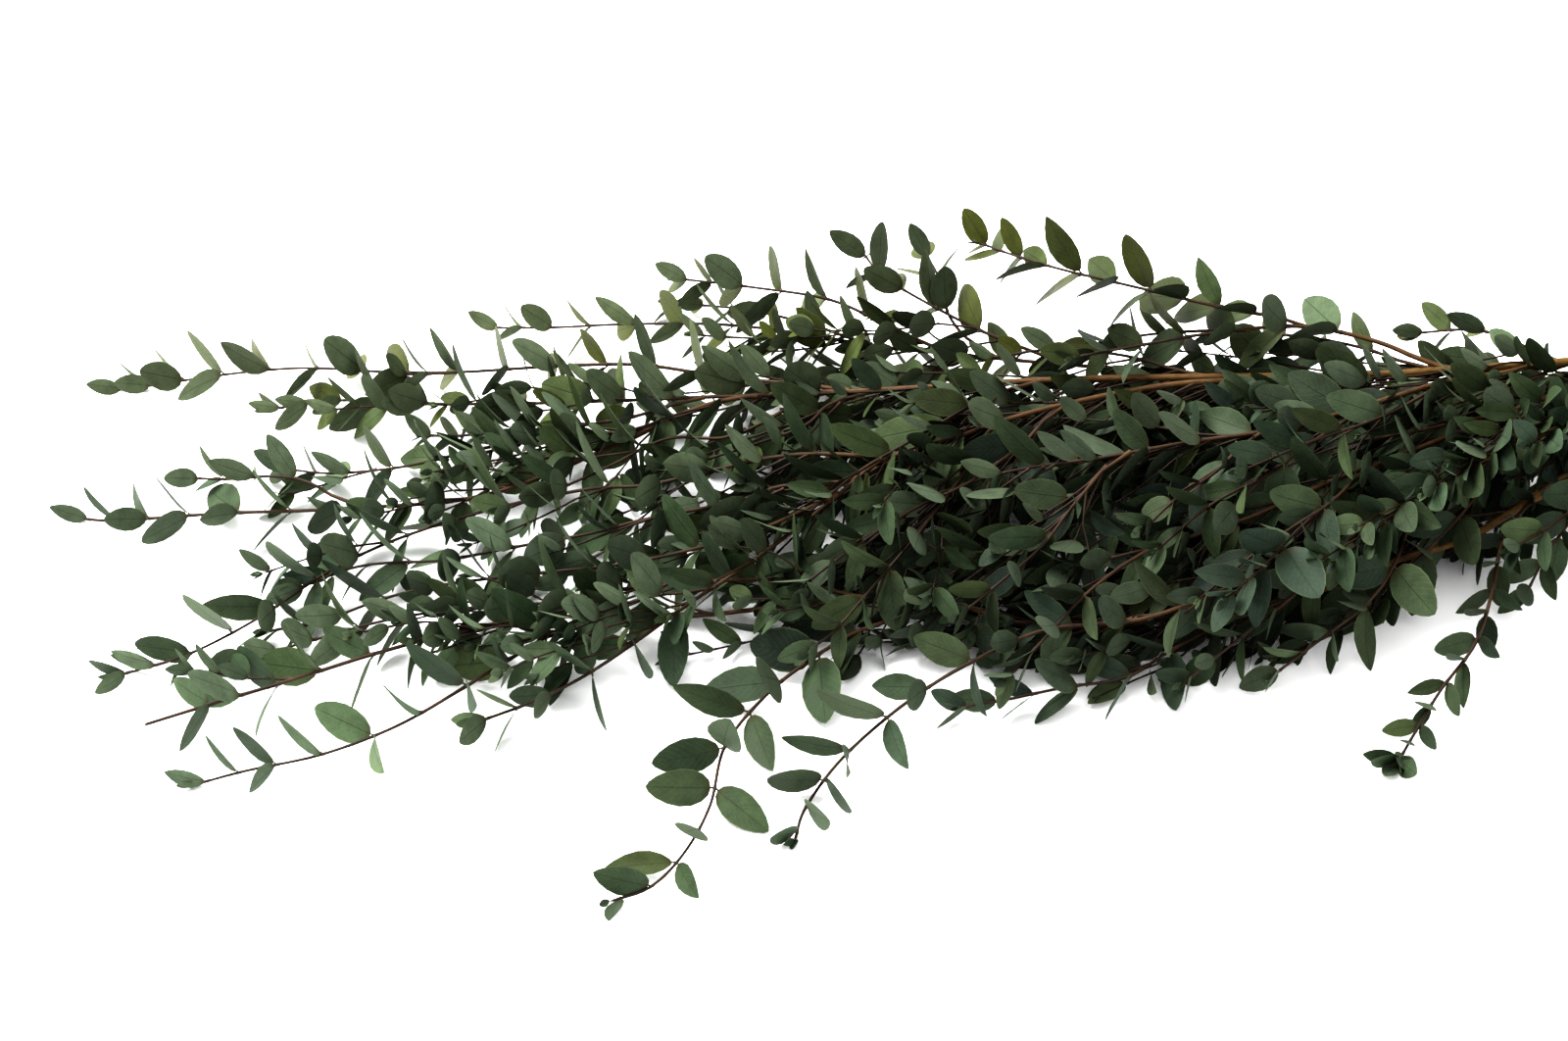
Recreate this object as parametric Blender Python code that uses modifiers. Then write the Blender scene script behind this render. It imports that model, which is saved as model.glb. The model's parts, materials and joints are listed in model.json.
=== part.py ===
# A cut eucalyptus branch lying on a table: a woody butt that forks into leafy limbs and side shoots
import math
import random

import bmesh
import bpy
import numpy as np
from mathutils import Vector
from mathutils.bvhtree import BVHTree

# Routes, thicknesses and leaf sizes are in millimetres and turned to metres by MM
MM = 0.001
PLAN_CENTRE = np.array((67.8, -40.7, 0.0))
JOINT_GAP = 0.3
PATH_STEP = 2.0
SPAN_POINTS = 12
KNOT_STEP = 34.0
ELBOW = 1.25
TAPER = 0.6
FEWEST_STEPS = 4

# How a new stem bends clear of those already there: the gap it wants, the length that one push bends,
# the length at its seat that stays put, and the shares of a push that go sideways and up or down
CLEAR_GAP = 1.0
BEND_LENGTH = 12.0
SEATED_LENGTH = 4.0
BEND_ROUNDS = 60
SLACK = 0.02
SIDEWAYS = 0.4
UPRIGHT = 0.6
LOW_LEVEL = 6.0
TABLE_GAP = 0.1

# The woody butt: cut end on the table, its underside worn flat where it rests
BUTT_ROUTE = ((432, 94, 4.6), (413, 87, 5.0), (384, 72, 16), (354, 56, 34), (336, 48, 44))
BUTT_THICKNESS = (10.5, 8.0)
BUTT_KNOTS = 9
TABLE_SLAB = (0.2, 0.2, 0.02)

# Bevel resolutions of the tubes, and the thickness from which a stem has the limbs' one
BUTT_ROUNDNESS = 3
LIMB_ROUNDNESS = 1
TWIG_ROUNDNESS = 0
THICK_LIMB = 3.5
WELD_DISTANCE = 1e-6

# Name, what it grows from, thickness at start and tip, leaf scale, and the route from base to tip
STEMS = (
    ("limb_leader", "butt", (4.4, 1.2), 1.0,
     ((336, 48, 44), (320, 41, 50), (240, 32, 50), (185, 35, 47), (115, 40, 42), (40, 45, 33),
      (-25, 50, 24), (-70, 25, 19), (-120, -5, 17), (-175, -10, 14), (-225, -8, 10), (-270, -5, 4),
      (-286, 0, 0.9))),
    ("limb_front_inner", "butt", (3.4, 1.2), 1.0,
     ((350, 52, 38), (315, 25, 46), (285, 8, 46), (245, -15, 45), (215, -30, 43), (180, -50, 40),
      (145, -62, 36), (112, -70, 32))),
    ("limb_front_lower", "butt", (3.6, 1.1), 1.0,
     ((368, 62, 26), (335, 25, 36), (305, 5, 40), (270, -20, 40), (240, -40, 38), (205, -62, 35),
      (165, -85, 31), (135, -96, 27), (100, -96, 22), (70, -110, 17), (45, -128, 12), (22, -152, 7),
      (8, -175, 3), (4, -190, 0.9))),
    ("limb_near", "butt", (3.2, 1.1), 0.64,
     ((385, 70, 17), (355, 30, 27), (325, -2, 31), (303, -18, 31), (283, -45, 27), (275, -70, 20),
      (265, -95, 14), (250, -115, 9), (240, -130, 4), (230, -147, 0.9))),
    ("limb_back", "limb_leader", (2.8, 1.0), 0.85,
     ((285, 40, 46), (240, 50, 38), (200, 56, 32), (125, 72, 26), (70, 85, 23), (40, 93, 21),
      (10, 105, 19), (-25, 115, 17), (-65, 120, 14), (-100, 126, 8), (-128, 136, 0.9))),
    ("limb_arch", "limb_leader", (2.6, 1.1), 1.0,
     ((262, 38, 50), (240, 48, 56), (210, 52, 60), (175, 50, 58), (145, 47, 54), (118, 44, 50))),
    ("limb_front_upper", "limb_leader", (3.0, 1.1), 1.0,
     ((300, 36, 52), (265, 22, 53), (235, 8, 53), (200, -8, 53), (160, -15, 51), (125, -20, 47),
      (90, -22, 42), (58, -30, 36))),
    ("limb_middle", "limb_leader", (3.2, 1.1), 1.0,
     ((215, 32, 49), (160, 30, 47), (105, 18, 43), (70, 5, 39), (40, -5, 35), (18, -27, 30),
      (-10, -55, 25), (-35, -76, 20), (-70, -108, 14), (-92, -122, 10), (-115, -132, 7))),
    ("limb_low", "limb_near", (3.4, 1.3), 1.0,
     ((293, -28, 29), (270, -38, 21), (240, -48, 17), (205, -64, 14), (150, -78, 13), (100, -82, 12),
      (50, -64, 13), (5, -70, 13), (-40, -76, 12), (-85, -76, 12), (-120, -84, 13), (-155, -100, 14),
      (-185, -114, 13), (-215, -126, 11), (-240, -136, 9))),
    ("spray_arch_tip", "limb_arch", (1.8, 1.0), 0.95,
     ((210, 52, 60), (180, 58, 65), (145, 67, 69), (115, 77, 71), (95, 88, 71), (82, 100, 69))),
    ("spray_back_top", "limb_back", (1.9, 1.0), 1.0,
     ((110, 75, 26), (85, 86, 33), (60, 100, 39), (42, 114, 43), (34, 130, 44))),
    ("spray_back_upright", "limb_back", (1.8, 1.0), 0.95,
     ((82, 83, 24), (70, 95, 36), (66, 107, 46), (60, 122, 50))),
    ("spray_back_left", "limb_back", (1.9, 1.0), 0.95,
     ((62, 87, 23), (40, 98, 31), (18, 110, 34), (-15, 122, 32), (-45, 134, 28))),
    ("spray_back_low", "limb_back", (1.8, 1.0), 0.8,
     ((30, 97, 20), (8, 120, 15), (-20, 136, 11), (-50, 146, 7))),
    ("spray_far_tip", "limb_leader", (2.0, 1.0), 1.0,
     ((18, 47, 30), (-22, 62, 27), (-60, 74, 25), (-95, 76, 23), (-135, 76, 20), (-165, 80, 17),
      (-205, 90, 12), (-240, 92, 7), (-275, 90, 2), (-286, 91, 0.9))),
    ("spray_far_inner", "limb_leader", (1.9, 1.0), 1.0,
     ((-18, 50, 25), (-60, 56, 20), (-115, 60, 15), (-160, 66, 11), (-190, 72, 8), (-216, 70, 5))),
    ("spray_tip_back", "limb_leader", (1.7, 1.0), 0.9,
     ((-178, -10, 14), (-192, 4, 16), (-208, 10, 15), (-226, 12, 12), (-243, 18, 8))),
    ("spray_tip_outer", "limb_leader", (1.8, 1.0), 0.95,
     ((-62, 30, 20), (-85, 34, 19), (-105, 31, 18), (-128, 26, 16), (-155, 18, 14), (-185, 16, 12),
      (-206, 22, 10))),
    ("spray_far_side", "spray_far_inner", (1.7, 1.0), 0.9,
     ((-42, 52, 22), (-65, 43, 20), (-90, 41, 17), (-115, 42, 14), (-135, 43, 11), (-150, 46, 9))),
    ("spray_left_long", "limb_middle", (2.0, 1.0), 1.0,
     ((42, -5, 35), (15, 0, 34), (-5, 0, 32), (-30, -5, 29), (-55, -9, 25), (-80, -8, 22),
      (-120, -17, 18), (-155, -32, 15), (-180, -50, 13), (-205, -75, 10), (-230, -93, 7),
      (-256, -102, 4))),
    ("spray_left_inner", "limb_middle", (1.9, 1.0), 1.0,
     ((24, -22, 31), (0, -16, 30), (-20, -24, 28), (-55, -30, 24), (-75, -36, 22), (-105, -41, 19),
      (-135, -46, 16), (-168, -45, 13), (-192, -56, 10))),
    ("spray_left_mid", "limb_middle", (1.9, 1.0), 1.0,
     ((16, -30, 29), (-10, -42, 28), (-35, -50, 25), (-60, -55, 22), (-85, -56, 19), (-130, -58, 14),
      (-155, -63, 11), (-180, -75, 9), (-200, -80, 8))),
    ("spray_left_low", "limb_low", (1.9, 1.0), 1.0,
     ((22, -68, 13), (0, -62, 19), (-30, -64, 20), (-60, -66, 18), (-85, -72, 16), (-112, -74, 16),
      (-150, -78, 13), (-185, -88, 9), (-210, -96, 6))),
    ("spray_near_left", "limb_low", (1.9, 1.0), 1.0,
     ((-72, -76, 12), (-90, -86, 11), (-106, -100, 10), (-122, -115, 9), (-145, -134, 7),
      (-172, -148, 5), (-200, -155, 3), (-218, -160, 0.9))),
    ("spray_near_big", "limb_low", (2.0, 1.0), 1.08,
     ((62, -67, 13), (30, -84, 12), (8, -103, 11), (-8, -122, 10), (-22, -148, 9), (-27, -178, 7),
      (-36, -200, 4), (-48, -216, 2), (-62, -222, 0.9))),
    ("spray_drop_left", "limb_middle", (1.8, 1.0), 1.0,
     ((78, 8, 40), (72, -20, 40), (55, -48, 35), (36, -74, 28), (20, -93, 20), (10, -100, 16))),
    ("spray_front_low", "limb_low", (1.8, 1.0), 0.95,
     ((178, -71, 14), (150, -95, 12), (130, -110, 10), (108, -113, 8), (85, -118, 6), (66, -122, 5))),
    ("spray_top_cross", "limb_front_upper", (1.8, 1.0), 0.85,
     ((228, 5, 53), (205, -22, 54), (190, -36, 52), (165, -52, 48), (143, -72, 42))),
    ("spray_top_drop", "limb_front_inner", (1.8, 1.0), 0.85,
     ((226, -24, 44), (212, -48, 46), (198, -60, 45), (178, -76, 41), (158, -94, 36))),
    ("spray_right_drop", "limb_front_lower", (1.8, 1.0), 0.9,
     ((246, -36, 38), (238, -64, 33), (226, -82, 26), (206, -96, 18), (186, -110, 11))),
    ("spray_front_drop", "limb_front_lower", (1.8, 1.0), 0.9,
     ((220, -54, 36), (206, -74, 33), (190, -88, 27), (170, -102, 19), (152, -114, 11))),
    ("spray_inner_drop", "limb_front_inner", (1.8, 1.0), 0.9,
     ((135, -64, 35), (116, -86, 32), (100, -104, 26), (84, -120, 18))),
    ("spray_middle_front", "limb_front_upper", (1.8, 1.0), 0.95,
     ((128, -20, 47), (112, -48, 44), (100, -66, 40), (86, -78, 34), (68, -92, 27))),
    ("spray_middle_fill", "limb_leader", (1.8, 1.0), 1.0,
     ((98, 41, 40), (76, 18, 45), (50, -4, 43), (30, -18, 39), (8, -38, 32))),
    ("spray_left_cross", "limb_leader", (1.8, 1.0), 1.0,
     ((8, 48, 29), (-10, 28, 28), (-25, 20, 27), (-48, 22, 25), (-70, 8, 22), (-92, -10, 21),
      (-112, -22, 22))),
    ("spray_centre_drop", "limb_middle", (1.8, 1.0), 1.0,
     ((108, 19, 43), (94, -8, 44), (72, -30, 42), (50, -42, 38), (26, -58, 31), (8, -72, 25))),
    ("spray_right_top", "limb_front_inner", (1.7, 1.0), 0.9,
     ((280, 5, 46), (250, -8, 51), (220, -16, 50), (190, -30, 47))),
    ("spray_low_near", "limb_low", (1.7, 1.0), 0.95,
     ((248, -46, 18), (232, -70, 14), (212, -84, 10), (190, -96, 8))),
    ("spray_right_back", "limb_leader", (1.7, 1.0), 0.9,
     ((312, 38, 50), (297, 54, 53), (282, 64, 50), (262, 70, 44))),
    ("shoot_arch_low", "limb_arch", (1.8, 1.0), 0.85,
     ((182, 50, 58), (168, 60, 52), (150, 66, 46), (130, 66, 42))),
    ("shoot_top_inner", "limb_front_upper", (1.7, 1.0), 0.85,
     ((182, -12, 52), (170, -34, 52), (153, -48, 49), (140, -60, 44))),
    ("shoot_left_top", "limb_leader", (1.7, 1.0), 0.95,
     ((32, 46, 32), (18, 33, 34), (8, 20, 33), (-15, 10, 30), (-45, 0, 26))),
    ("shoot_right_near", "limb_near", (1.7, 1.0), 0.9,
     ((312, -10, 31), (312, -32, 28), (300, -48, 22), (290, -64, 14))),
    ("spray_right_under", "limb_front_lower", (1.8, 1.0), 0.9,
     ((285, -10, 40), (262, -42, 30), (240, -62, 22), (215, -80, 15))),
    ("spray_right_inner", "limb_front_upper", (1.8, 1.0), 0.9,
     ((262, 20, 53), (236, -8, 58), (208, -22, 57), (178, -38, 54))),
    ("spray_far_right", "limb_near", (1.8, 1.0), 0.9,
     ((335, 8, 30), (322, -22, 34), (304, -42, 33), (284, -56, 30))),
    ("spray_back_right", "limb_leader", (1.8, 1.0), 0.9,
     ((258, 32, 50), (235, 52, 50), (208, 66, 46), (180, 74, 40))),
    ("spray_mid_back", "limb_leader", (1.8, 1.0), 0.9,
     ((165, 36, 46), (140, 54, 44), (112, 64, 40), (84, 66, 34))),
)

# Leaves: opposite pairs, each pair turned a quarter round from the last, smaller and closer towards the tip
FIRST_PAIR_FROM_TIP = 4.0
TIP_INTERNODE = 12.0
INTERNODE = 21.0
INTERNODE_GROWTH = 1.2
BARE_START = 14.0
BARE_TIP = {"limb_low": 22.0}
CLOSE_PAIRS = {"limb_near": 0.6, "spray_arch_tip": 0.7}
TIP_LEAF = 17.0
FULL_LEAF = 27.0
LEAF_GROWTH = 0.2
SIZE_SPREAD = 0.12
WIDTH_SHARE = 0.5
WIDE_LEAVES = {"spray_arch_tip": 0.64, "limb_arch": 0.6}
BLADE_THICKNESS = 0.6
ARCH = 0.08
ROOT_SINK = 0.1
TIP_ANGLE = math.radians(34)
TIP_REACH = 25.0
PAIR_WANDER = 0.16
WOBBLE = 0.18
LEAN = 0.2
ROLL = 0.3
SEED = 7
TEST_SIDES = 6
TEST_ASIDE = (0.3, 0.2, 1.0)
TEST_SKIN = 0.15

# How far from their tips the limbs carry leaves of their own, before they are bare brown wood
LEAFY_LENGTH = {"limb_leader": 340.0, "limb_front_inner": 175.0, "limb_front_lower": 330.0,
                "limb_near": 150.0, "limb_back": 300.0, "limb_arch": 130.0, "limb_front_upper": 200.0,
                "limb_middle": 270.0, "limb_low": 130.0}

# Along X: how open the leaves stand, in degrees from the stem, and how strongly their faces turn to the sky
ANGLE_ALONG = ((-60, 120), (58, 46))
SKY_ALONG = ((-60, 120), (0.2, 0.6))
SKYWARD = {"spray_arch_tip": 1.3, "spray_near_big": 1.0}

# Outline of one side of the blade, as shares of its length and of its half width
OUTLINE = ((0.28, 0.9), (0.66, 0.86))

# Turns round the stem, changes of angle and twists in degrees that a leaf tries until it lies clear
TRIES = ((0, 0, 0), (18, 0, 0), (-18, 0, 0), (0, -14, 25), (0, 14, -25), (36, 0, 20), (-36, 0, -20),
         (36, -16, 0), (-36, -16, 0), (56, 0, 0), (-56, 0, 0), (76, -10, 0), (-76, -10, 0), (0, -26, 60),
         (0, -26, -60))
SIZE_TRIES = (1.0, 0.86)

WOOD = (0.19, 0.095, 0.04)
WOOD_ROUGHNESS = 0.7
LEAF_ROUGHNESS = 0.55
LEAF_GREENS = ((0.030, 0.075, 0.032), (0.042, 0.095, 0.038), (0.028, 0.062, 0.038))


def clear_scene():
    for obj in list(bpy.data.objects):
        bpy.data.objects.remove(obj)


def principled(name, colour, roughness):
    material = bpy.data.materials.new(name)
    material.use_nodes = True
    shader = material.node_tree.nodes["Principled BSDF"]
    shader.inputs["Base Color"].default_value = (*colour, 1)
    shader.inputs["Roughness"].default_value = roughness
    shader.inputs["Metallic"].default_value = 0
    material.diffuse_color = (*colour, 1)
    return material


def smooth_path(points):
    """A smooth curve through the points, read every PATH_STEP."""
    points = np.array(points, float)
    ends = np.vstack([2 * points[0] - points[1], points, 2 * points[-1] - points[-2]])
    share = np.linspace(0, 1, SPAN_POINTS, endpoint=False)[:, None]
    curve = []
    for a, b, c, d in zip(ends, ends[1:], ends[2:], ends[3:]):
        curve.append(0.5 * (2 * b + (c - a) * share + (2 * a - 5 * b + 4 * c - d) * share**2
                            + (3 * b - a - 3 * c + d) * share**3))
    curve = np.vstack([*curve, points[-1]])
    along = distance_along(curve)
    steps = np.linspace(0, along[-1], max(FEWEST_STEPS, int(along[-1] / PATH_STEP)))
    return read_path(curve, along, steps)


def distance_along(path):
    return np.concatenate([[0], np.cumsum(np.linalg.norm(np.diff(path, axis=0), axis=1))])


def read_path(path, along, at):
    return np.stack([np.interp(at, along, path[:, axis]) for axis in range(3)], axis=-1)


def unit(vector):
    return vector / np.linalg.norm(vector)


def tapered(thickness, share):
    """Radii along a stem, which thins faster near its base."""
    start, end = thickness
    return (start + (end - start) * share**TAPER) / 2


def bend_clear(path, radii, others, other_radii):
    """Bends a new stem, mostly upwards or downwards, until it lies clear of those already there."""
    along = distance_along(path)
    spread = np.exp(-0.5 * ((along[:, None] - along[None, :]) / BEND_LENGTH) ** 2)
    ramp = np.minimum(1, along / BEND_LENGTH)[:, None]
    for _ in range(BEND_ROUNDS):
        gaps = np.linalg.norm(path[:, None] - others[None], axis=2) - other_radii[None]
        nearest = gaps.argmin(axis=1)
        short = radii + CLEAR_GAP - gaps.min(axis=1)
        short[along < SEATED_LENGTH] = 0
        short = np.maximum(short, 0)
        if short.max() < SLACK:
            break
        away = path - others[nearest]
        away[:, :2] *= SIDEWAYS
        away[:, 2] += np.where(away[:, 2] >= 0, UPRIGHT, -UPRIGHT)
        away[(path[:, 2] < LOW_LEVEL) & (away[:, 2] < 0), 2] *= -1
        away /= np.linalg.norm(away, axis=1)[:, None]
        push = away * short[:, None]
        weight = spread * (short > 0)
        shares = weight / np.maximum(weight.sum(axis=1), SLACK)[:, None]
        path = path + ramp * weight.max(axis=1)[:, None] * (shares @ push)
        path[:, 2] = np.maximum(path[:, 2], radii + TABLE_GAP)
    return path


def leaf_stations(name, length):
    """Distances from the stem's base of its leaf pairs, base first."""
    back = BARE_TIP.get(name, 0) + FIRST_PAIR_FROM_TIP
    step = TIP_INTERNODE
    stations = []
    while back < min(length - BARE_START, LEAFY_LENGTH.get(name, length)):
        stations.append(length - back)
        back += step * CLOSE_PAIRS.get(name, 1)
        step = min(INTERNODE, step * INTERNODE_GROWTH)
    return stations[::-1]


def stem_shapes():
    """Every stem as knots and radii: smooth, seated on its parent and clear of the others."""
    paths = {"butt": smooth_path(BUTT_ROUTE)}
    shapes = {}
    others = paths["butt"]
    other_radii = np.linspace(*BUTT_THICKNESS, len(others)) / 2
    girths = {"butt": other_radii}
    for name, parent, thickness, scale, route in STEMS:
        route = np.array(route, float)
        parent_path = paths[parent]
        at = np.linalg.norm(parent_path - route[0], axis=1).argmin()
        tangent = unit(parent_path[min(at + 1, len(parent_path) - 1)] - parent_path[max(at - 1, 0)])
        parent_radius = girths[parent][at]
        side = route[1] - route[0]
        side = unit(side - side.dot(tangent) * tangent)
        if at == len(parent_path) - 1:
            side = tangent
            parent_radius = 0
        seat = parent_path[at] + side * (parent_radius + JOINT_GAP)
        elbow = seat + side * ELBOW * thickness[0] / 2
        path = smooth_path(np.vstack([elbow, route[1:]]))
        radii = tapered(thickness, np.linspace(0, 1, len(path)))
        path = bend_clear(path, radii, others, other_radii)
        along = distance_along(path)
        stations = leaf_stations(name, along[-1])
        knots = np.linspace(0, along[-1], round(along[-1] / KNOT_STEP) + 2)
        bends = read_path(path, along, knots)
        points = np.vstack([seat, bends])
        widths = np.concatenate([radii[:1], np.interp(knots, along, radii)])
        roots = read_path(bends, knots, stations)
        path = read_path(bends, knots, along)
        shapes[name] = (points, widths, along[-1], roots, np.array(stations), scale)
        paths[name] = path
        girths[name] = radii
        others = np.vstack([others, path])
        other_radii = np.concatenate([other_radii, radii])
    return paths["butt"], shapes


def stem_tree(points, radii):
    """A plain tube round the knots, only to test leaves against."""
    rings = []
    for i, (point, radius) in enumerate(zip(points, radii)):
        tangent = unit(points[min(i + 1, len(points) - 1)] - points[max(i - 1, 0)])
        side = unit(np.cross(tangent, TEST_ASIDE))
        other = np.cross(tangent, side)
        turns = np.arange(TEST_SIDES) * math.tau / TEST_SIDES
        way = np.cos(turns)[:, None] * side + np.sin(turns)[:, None] * other
        rings.append(point + (radius + TEST_SKIN) * way)
    faces = []
    for ring in range(len(points) - 1):
        for i in range(TEST_SIDES):
            a, b = ring * TEST_SIDES + i, ring * TEST_SIDES + (i + 1) % TEST_SIDES
            faces.append((a, b, b + TEST_SIDES, a + TEST_SIDES))
    verts = np.vstack(rings)
    return verts.min(axis=0), verts.max(axis=0), BVHTree.FromPolygons(verts.tolist(), faces)


def blade_surface(length, width_share, arch):
    """Vertices and triangles of one leaf, root at the origin, along +X with its upper face to +Z."""
    half = length * width_share / 2
    verts = [(-ROOT_SINK, 0, 0), (length, 0, -arch * length)]
    for side in (1, -1):
        for share, width in OUTLINE:
            verts.append((share * length, side * width * half, -arch * length * share**2))
    count = len(OUTLINE)
    left = range(2, 2 + count)
    right = range(2 + count, 2 + 2 * count)
    faces = [(0, right[0], left[0])]
    for a, b, c, d in zip(left, left[1:], right, right[1:]):
        faces += [(a, c, d), (a, d, b)]
    faces.append((left[-1], right[-1], 1))
    return np.array(verts), faces


def leaf_frame(direction, pair_axis, angle, twist, skyward):
    """The leaf's turn: along its own direction, its upper face turned to the tip and to the sky."""
    along = unit(math.cos(angle) * direction + math.sin(angle) * pair_axis)
    face = math.sin(angle) * direction - math.cos(angle) * pair_axis + np.array((0, 0, skyward))
    face = unit(face - face.dot(along) * along)
    across = np.cross(face, along)
    turned = math.cos(twist) * across + math.sin(twist) * face
    return np.stack([along, turned, np.cross(along, turned)], axis=1)


def leaf_tree(verts, faces, normal):
    """The thickened leaf with its gap, only to test it against others."""
    half = BLADE_THICKNESS / 2 + JOINT_GAP / 2
    both = np.vstack([verts + normal * half, verts - normal * half])
    count = len(verts)
    rim = [0, *range(2, 2 + (count - 2) // 2), 1, *reversed(range(2 + (count - 2) // 2, count))]
    walls = [(a, b, b + count, a + count) for a, b in zip(rim, rim[1:] + rim[:1])]
    polygons = list(faces) + [tuple(v + count for v in face) for face in faces] + walls
    return both.min(axis=0), both.max(axis=0), BVHTree.FromPolygons(both.tolist(), polygons)


def boxes_meet(low, high, lows, highs):
    return np.nonzero((lows <= high).all(axis=1) & (highs >= low).all(axis=1))[0]


def lay_leaves(shapes, butt_path):
    """Each stem's leaves, as verts, faces and station, all clear of the other stems and leaves."""
    owners = ["butt", *shapes]
    trees = [stem_tree(butt_path, np.linspace(*BUTT_THICKNESS, len(butt_path)) / 2)]
    trees += [stem_tree(points, radii) for points, radii, *_ in shapes.values()]
    lows = [tree[0] for tree in trees]
    highs = [tree[1] for tree in trees]
    trees = [tree[2] for tree in trees]
    leaves = {name: [] for name in shapes}
    for number, (name, (_, _, length, roots, stations, scale)) in enumerate(shapes.items()):
        draws = random.Random(SEED + number)
        turn = draws.uniform(0, math.pi)
        width_share = WIDE_LEAVES.get(name, WIDTH_SHARE)
        for k, (root, station) in enumerate(zip(roots, stations)):
            ahead = roots[k + 1] if k + 1 < len(roots) else shapes[name][0][-1]
            behind = roots[k - 1] if k else shapes[name][0][0]
            direction = unit(ahead - behind)
            level = unit(np.cross(direction, (0, 0, 1.0)))
            upright = np.cross(level, direction)
            turn += math.pi / 2 + draws.gauss(0, PAIR_WANDER)
            from_tip = length - station
            near_tip = math.exp(-from_tip / TIP_REACH)
            open_angle = math.radians(np.interp(root[0], *ANGLE_ALONG))
            skyward = SKYWARD.get(name, np.interp(root[0], *SKY_ALONG))
            for side in (0, 1):
                wobble, lean, size, roll, sag = [draws.uniform(-1, 1) for _ in range(5)]
                if side == k % 2 and k < len(roots) - 1:
                    continue
                full = min(FULL_LEAF, TIP_LEAF + LEAF_GROWTH * from_tip) * scale * (1 + SIZE_SPREAD * size)
                for shrink, (spin, tilt, twist) in [(s, t) for s in SIZE_TRIES for t in TRIES]:
                    around = turn + side * math.pi + math.radians(spin) + WOBBLE * wobble
                    axis = math.cos(around) * level + math.sin(around) * upright
                    angle = open_angle + (TIP_ANGLE - open_angle) * near_tip
                    angle += math.radians(tilt) + LEAN * lean
                    verts, faces = blade_surface(full * shrink, width_share, ARCH * (1 + sag))
                    rolled = math.radians(twist) + ROLL * roll
                    matrix = leaf_frame(direction, axis, angle, rolled, skyward)
                    verts = verts @ matrix.T + root
                    if verts[:, 2].min() < BLADE_THICKNESS / 2:
                        continue
                    low, high, tree = leaf_tree(verts, faces, matrix[:, 2])
                    near = boxes_meet(low, high, np.array(lows), np.array(highs))
                    if any(tree.overlap(trees[i]) for i in near if owners[i] not in (name, (name, k))):
                        continue
                    leaves[name].append((verts, faces))
                    owners.append((name, k))
                    lows.append(low)
                    highs.append(high)
                    trees.append(tree)
                    break
    return leaves


def to_scene(points):
    return [Vector((p - PLAN_CENTRE) * MM) for p in points]


def add_tube(name, points, radii, resolution, collection):
    """A bevelled curve with capped ends, made into a welded mesh."""
    curve = bpy.data.curves.new(name, "CURVE")
    curve.dimensions = "3D"
    curve.bevel_depth = MM
    curve.bevel_resolution = resolution
    curve.use_fill_caps = True
    spline = curve.splines.new("POLY")
    spline.points.add(len(points) - 1)
    for knot, point, radius in zip(spline.points, to_scene(points), radii):
        knot.co = (*point, 1)
        knot.radius = radius
    source = bpy.data.objects.new(name + " route", curve)
    collection.objects.link(source)
    graph = bpy.context.evaluated_depsgraph_get()
    mesh = bpy.data.meshes.new_from_object(source.evaluated_get(graph))
    bpy.data.objects.remove(source)
    welded = bmesh.new()
    welded.from_mesh(mesh)
    bmesh.ops.remove_doubles(welded, verts=welded.verts, dist=WELD_DISTANCE)
    bmesh.ops.recalc_face_normals(welded, faces=welded.faces)
    welded.to_mesh(mesh)
    welded.free()
    mesh.name = name
    obj = bpy.data.objects.new(name, mesh)
    collection.objects.link(obj)
    return obj


def add_blade(verts, faces, collection):
    mesh = bpy.data.meshes.new("leaf")
    mesh.from_pydata(to_scene(verts), [], faces)
    blade = bpy.data.objects.new("leaf", mesh)
    collection.objects.link(blade)
    shell = blade.modifiers.new("Blade thickness", "SOLIDIFY")
    shell.thickness = BLADE_THICKNESS * MM
    shell.offset = 0
    return blade


def apply_modifiers(obj):
    graph = bpy.context.evaluated_depsgraph_get()
    mesh = bpy.data.meshes.new_from_object(obj.evaluated_get(graph))
    obj.modifiers.clear()
    obj.data = mesh


def keep_largest_piece(obj):
    """Drops loose scraps, and the inner skin of a hollow that the fusing closed."""
    shape = bmesh.new()
    shape.from_mesh(obj.data)
    unseen = set(shape.verts)
    pieces = []
    while unseen:
        piece = {unseen.pop()}
        edge_of = list(piece)
        while edge_of:
            vert = edge_of.pop()
            for edge in vert.link_edges:
                other = edge.other_vert(vert)
                if other in unseen:
                    unseen.remove(other)
                    piece.add(other)
                    edge_of.append(other)
        pieces.append(piece)
    pieces.sort(key=len)
    for piece in pieces[:-1]:
        bmesh.ops.delete(shape, geom=list(piece), context="VERTS")
    shape.to_mesh(obj.data)
    shape.free()


def fuse(obj, collection):
    union = obj.modifiers.new("Fuse the leaves to their stem", "BOOLEAN")
    union.operation = "UNION"
    union.operand_type = "COLLECTION"
    union.collection = collection
    union.solver = "EXACT"
    apply_modifiers(obj)
    for leaf in list(collection.objects):
        bpy.data.objects.remove(leaf)
    keep_largest_piece(obj)


def rest_flat(obj, cutters):
    """Cuts the underside of the butt level with the table."""
    end = np.array((*BUTT_ROUTE[0][:2], -TABLE_SLAB[2] / 2 / MM))
    bpy.ops.mesh.primitive_cube_add(size=1, location=to_scene([end])[0])
    table = bpy.context.object
    table.name = "Table level"
    table.scale = TABLE_SLAB
    for collection in table.users_collection:
        collection.objects.unlink(table)
    cutters.objects.link(table)
    table.hide_render = True
    table.display_type = "WIRE"
    cut = obj.modifiers.new("Flat resting spot", "BOOLEAN")
    cut.operation = "DIFFERENCE"
    cut.object = table
    cut.solver = "EXACT"


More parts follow.
